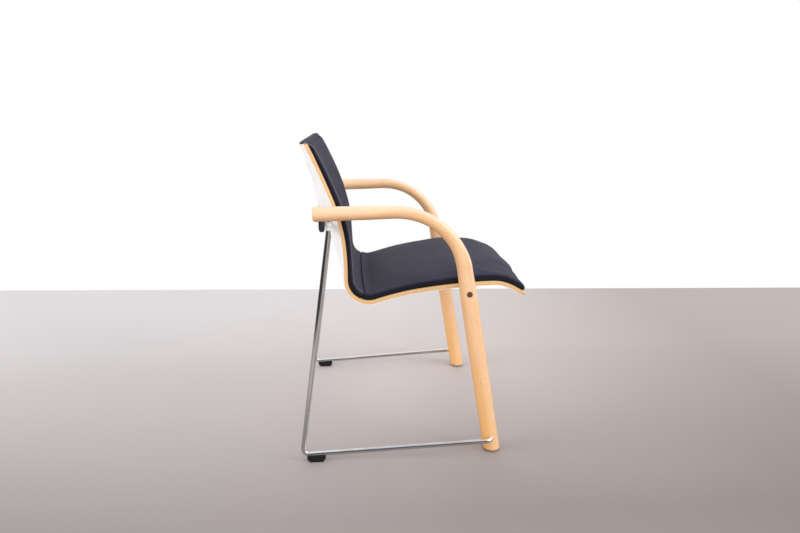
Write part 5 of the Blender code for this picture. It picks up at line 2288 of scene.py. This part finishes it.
@dataclass
class Clips:
    """Black clips that hold the shell to the bars, with their zinc pan-head screws."""

    bars: Crossbars
    finishes: Finishes
    front_inset: float = 0.065
    wall: float = 0.0021
    tail: float = 0.018
    tail_thickness: float = 0.0034
    spacing: float = 0.015
    head_radius: float = 0.0038
    head_height: float = 0.0024
    shank: Span = (0.0018, -0.0125)
    recess: Scale = (0.0023, 0.00055, 0.0013)
    sides: int = 96
    head_shares: Table = (
        (0.70, 0.93), (0.82, 0.84), (0.92, 0.66), (0.98, 0.44), (1.0, 0.22), (1.0, 0.0),
    )

    def build(self) -> None:
        """Dress the clips and build their screws."""
        bars = self.bars
        half = bars.form.shell.half_width - self.front_inset
        for name, radius, run, x in (
            ("front_clip_right", bars.front_radius, bars.front_run, -half),
            ("front_clip_left", bars.front_radius, bars.front_run, half),
            ("rear_clip", bars.rear_radius, bars.rear_run, 0.0),
        ):
            dressed_node(name, self.finishes.plastic)
            for index, side in enumerate((-1, 1)):
                self.screw(f"{name}_screw_{index + 1}", radius, run, x, side)

    def screw(self, node: str, radius: float, run: float, x: float, side: int) -> None:
        """Pan-head screw with a cross recess, through a clip's tail.

        Args:
            node: the CAD screw that it stands for.
            radius: the radius of the clip's bar.
            run: the clip's distance along the shell.
            x: the clip's place across the chair.
            side: which of the clip's two screws, -1 or 1.
        """
        shell = self.bars.form.shell
        outward = -shell.normal(run, x)
        origin = shell.offset(run, x, -(shell.rear_lift + self.bars.clip_gap))
        across = Vector((1, 0, 0))
        turn = Matrix((across, outward.cross(across), outward)).transposed().to_4x4()
        ahead = radius + FIT_GAP + self.wall + self.tail / 2
        seat = Vector((side * self.spacing / 2, ahead, self.tail_thickness + FIT_GAP))
        profile = [(self.head_radius * out, self.head_height * up) for out, up in self.head_shares]
        end, tip = self.shank
        profile += [(end, 0.0), (end, tip + end), (end * 0.2, tip)]
        length, width, depth = self.recess
        recess = cross(length, width)
        item = turned(profile, self.sides, recess, depth).finish(f"{node}_head")
        item.matrix_world = Matrix.Translation(origin) @ turn @ Matrix.Translation(seat)
        fitted(item, self.finishes.zinc, Slot.ZINC, [node])


# Room, light and camera


@dataclass
class Room:
    """Pale floor that ends at a white wall."""

    wall_x: float = 1.147
    wall_skew: float = 0.0494
    reach: float = 9.0
    floor_height: float = -0.0003

    def build(self) -> None:
        """Build the floor."""
        body = Body()
        corners = [
            (-self.reach, -self.reach),
            (self.wall_at(-self.reach), -self.reach),
            (self.wall_at(self.reach), self.reach),
            (-self.reach, self.reach),
        ]
        ring = [body.point(Vector((x, y, self.floor_height)), (x, y, 0)) for x, y in corners]
        body.mesh.faces.new(ring)
        item = body.finish("floor")
        item.data.materials.append(FloorFinish().material())
        log.info("built the floor")

    def wall_at(self, y: float) -> float:
        """X of the wall's foot at a Y."""
        return self.wall_x + self.wall_skew * y


@dataclass(frozen=True)
class SoftBox:
    """A large soft lamp aimed at the chair."""

    name: str
    place: Scale
    size: float
    power: float
    aim: Scale = (0.0, 0.0, 0.4)
    mirrored: bool = True

    def build(self) -> None:
        """Hang the lamp, out of the camera's sight."""
        data = bpy.data.lights.new(self.name, "AREA")
        data.shape = "SQUARE"
        data.size = self.size
        data.energy = self.power
        item = bpy.data.objects.new(self.name, data)
        item.location = self.place
        run = Vector(self.aim) - Vector(self.place)
        item.rotation_euler = run.to_track_quat("-Z", "Y").to_euler()
        item.visible_camera = False
        item.visible_glossy = self.mirrored
        bpy.context.scene.collection.objects.link(item)
        log.info("hung %s", self.name)


class WorldRecipe(Recipe):
    """The surroundings' nodes."""

    def __init__(self, name: str) -> None:
        """Start a world with no nodes and make it the scene's.

        Args:
            name: the world's name.
        """
        world = bpy.data.worlds.new(name)
        bpy.context.scene.world = world
        world.use_nodes = True
        self.tree = world.node_tree
        self.tree.nodes.clear()

    def background(self, colour: object, strength: float) -> Socket:
        """One background shader."""
        values = {"Color": colour, "Strength": strength}
        return self.node("Background", values).outputs[0]

    def chosen(self, test: Socket, no: Socket, yes: Socket) -> Socket:
        """One of two shaders, by a test."""
        return self.node("MixShader", {0: test, 1: no, 2: yes}).outputs[0]


@dataclass
class Studio:
    """White surroundings with soft lamps, and a dimmer room behind the camera."""

    ambient: float = 0.60
    ambient_tone: Colour = (1.0, 0.995, 0.99)
    room_lean: Scale = (0.80, -0.45, 0.35)
    room_tones: Tones = (
        (0.0, (0.045, 0.045, 0.05)),
        (0.30, (0.09, 0.09, 0.095)),
        (0.46, (0.42, 0.42, 0.43)),
        (0.64, (0.85, 0.85, 0.85)),
        (1.0, (1.0, 1.0, 1.0)),
    )
    lamps: tuple[SoftBox, ...] = (
        SoftBox("front_lamp", (-2.6, -5.6, 3.8), 3.6, 190.0),
        SoftBox("camera_lamp", (-6.3, -0.8, 3.1), 6.0, 215.0, mirrored=False),
        SoftBox("wall_lamp", (4.5, 0.4, 3.2), 5.0, 80.0, mirrored=False),
        SoftBox("rear_lamp", (-1.2, 5.4, 2.0), 3.2, 165.0, mirrored=False),
    )

    def build(self) -> None:
        """Build the surroundings and hang the lamps."""
        r = WorldRecipe("white_studio")
        paths = r.node("LightPath").outputs
        parts = r.parts_of(r.node("TexCoord").outputs["Generated"])
        lean = [r.times(part, share) for part, share in zip(parts, self.room_lean)]
        level = r.plus(r.plus(*lean[:2]), lean[2])
        room = r.ramp(r.evenly(level, -1.0, 1.0), self.room_tones)
        ambient = r.background(self.ambient_tone, self.ambient)
        shader = r.chosen(paths["Is Glossy Ray"], ambient, r.background(room, 1.0))
        shader = r.chosen(paths["Is Camera Ray"], shader, r.background(WHITE, 1.0))
        r.feed(shader, r.node("OutputWorld").inputs["Surface"])
        for lamp in self.lamps:
            lamp.build()
        log.info("lit the studio")


@dataclass
class PhotoCamera:
    """The camera that took the photograph, solved from it."""

    place: Scale = (-1.613, 0.1526, 0.870)
    yaw: float = -4.78
    pitch: float = 15.29
    roll: float = 0.37
    lens: float = 26.64
    sensor: float = 36.0

    def build(self) -> None:
        """Set up the camera and make it the scene's."""
        data = bpy.data.cameras.new("photo_camera")
        data.sensor_fit = "HORIZONTAL"
        data.sensor_width = self.sensor
        data.lens = self.lens
        data.clip_start, data.clip_end = 0.05, 100.0
        yaw, pitch, roll = (math.radians(a) for a in (self.yaw, self.pitch, self.roll))
        level = math.cos(pitch)
        ahead = Vector((level * math.cos(yaw), level * math.sin(yaw), -math.sin(pitch)))
        right = ahead.cross(Vector((0, 0, 1))).normalized()
        up = right.cross(ahead)
        tilted = right * math.cos(roll) + up * math.sin(roll)
        upright = up * math.cos(roll) - right * math.sin(roll)
        turn = Matrix((tilted, upright, -ahead)).transposed().to_4x4()
        item = bpy.data.objects.new("photo_camera", data)
        bpy.context.scene.collection.objects.link(item)
        item.matrix_world = Matrix.Translation(self.place) @ turn
        bpy.context.scene.camera = item
        bpy.context.scene.view_settings.view_transform = "Standard"
        log.info("placed the camera")


def keep_sizes() -> None:
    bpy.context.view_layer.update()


def main() -> None:
    """Build the camera, the room, the light and the chair, piece by piece."""
    logging.basicConfig(level=logging.INFO, format="%(name)s: %(message)s")
    PhotoCamera().build()
    Room().build()
    Studio().build()
    finishes = Finishes()
    form = FrameForm()
    for side in Side:
        SideFrame(side, form, finishes).build()
    bars = Crossbars(form, finishes)
    bars.build()
    Shell(form.shell, finishes).build()
    Pads(form.shell, finishes).build()
    Clips(bars, finishes).build()
    keep_sizes()


if __name__ == "__main__":
    main()
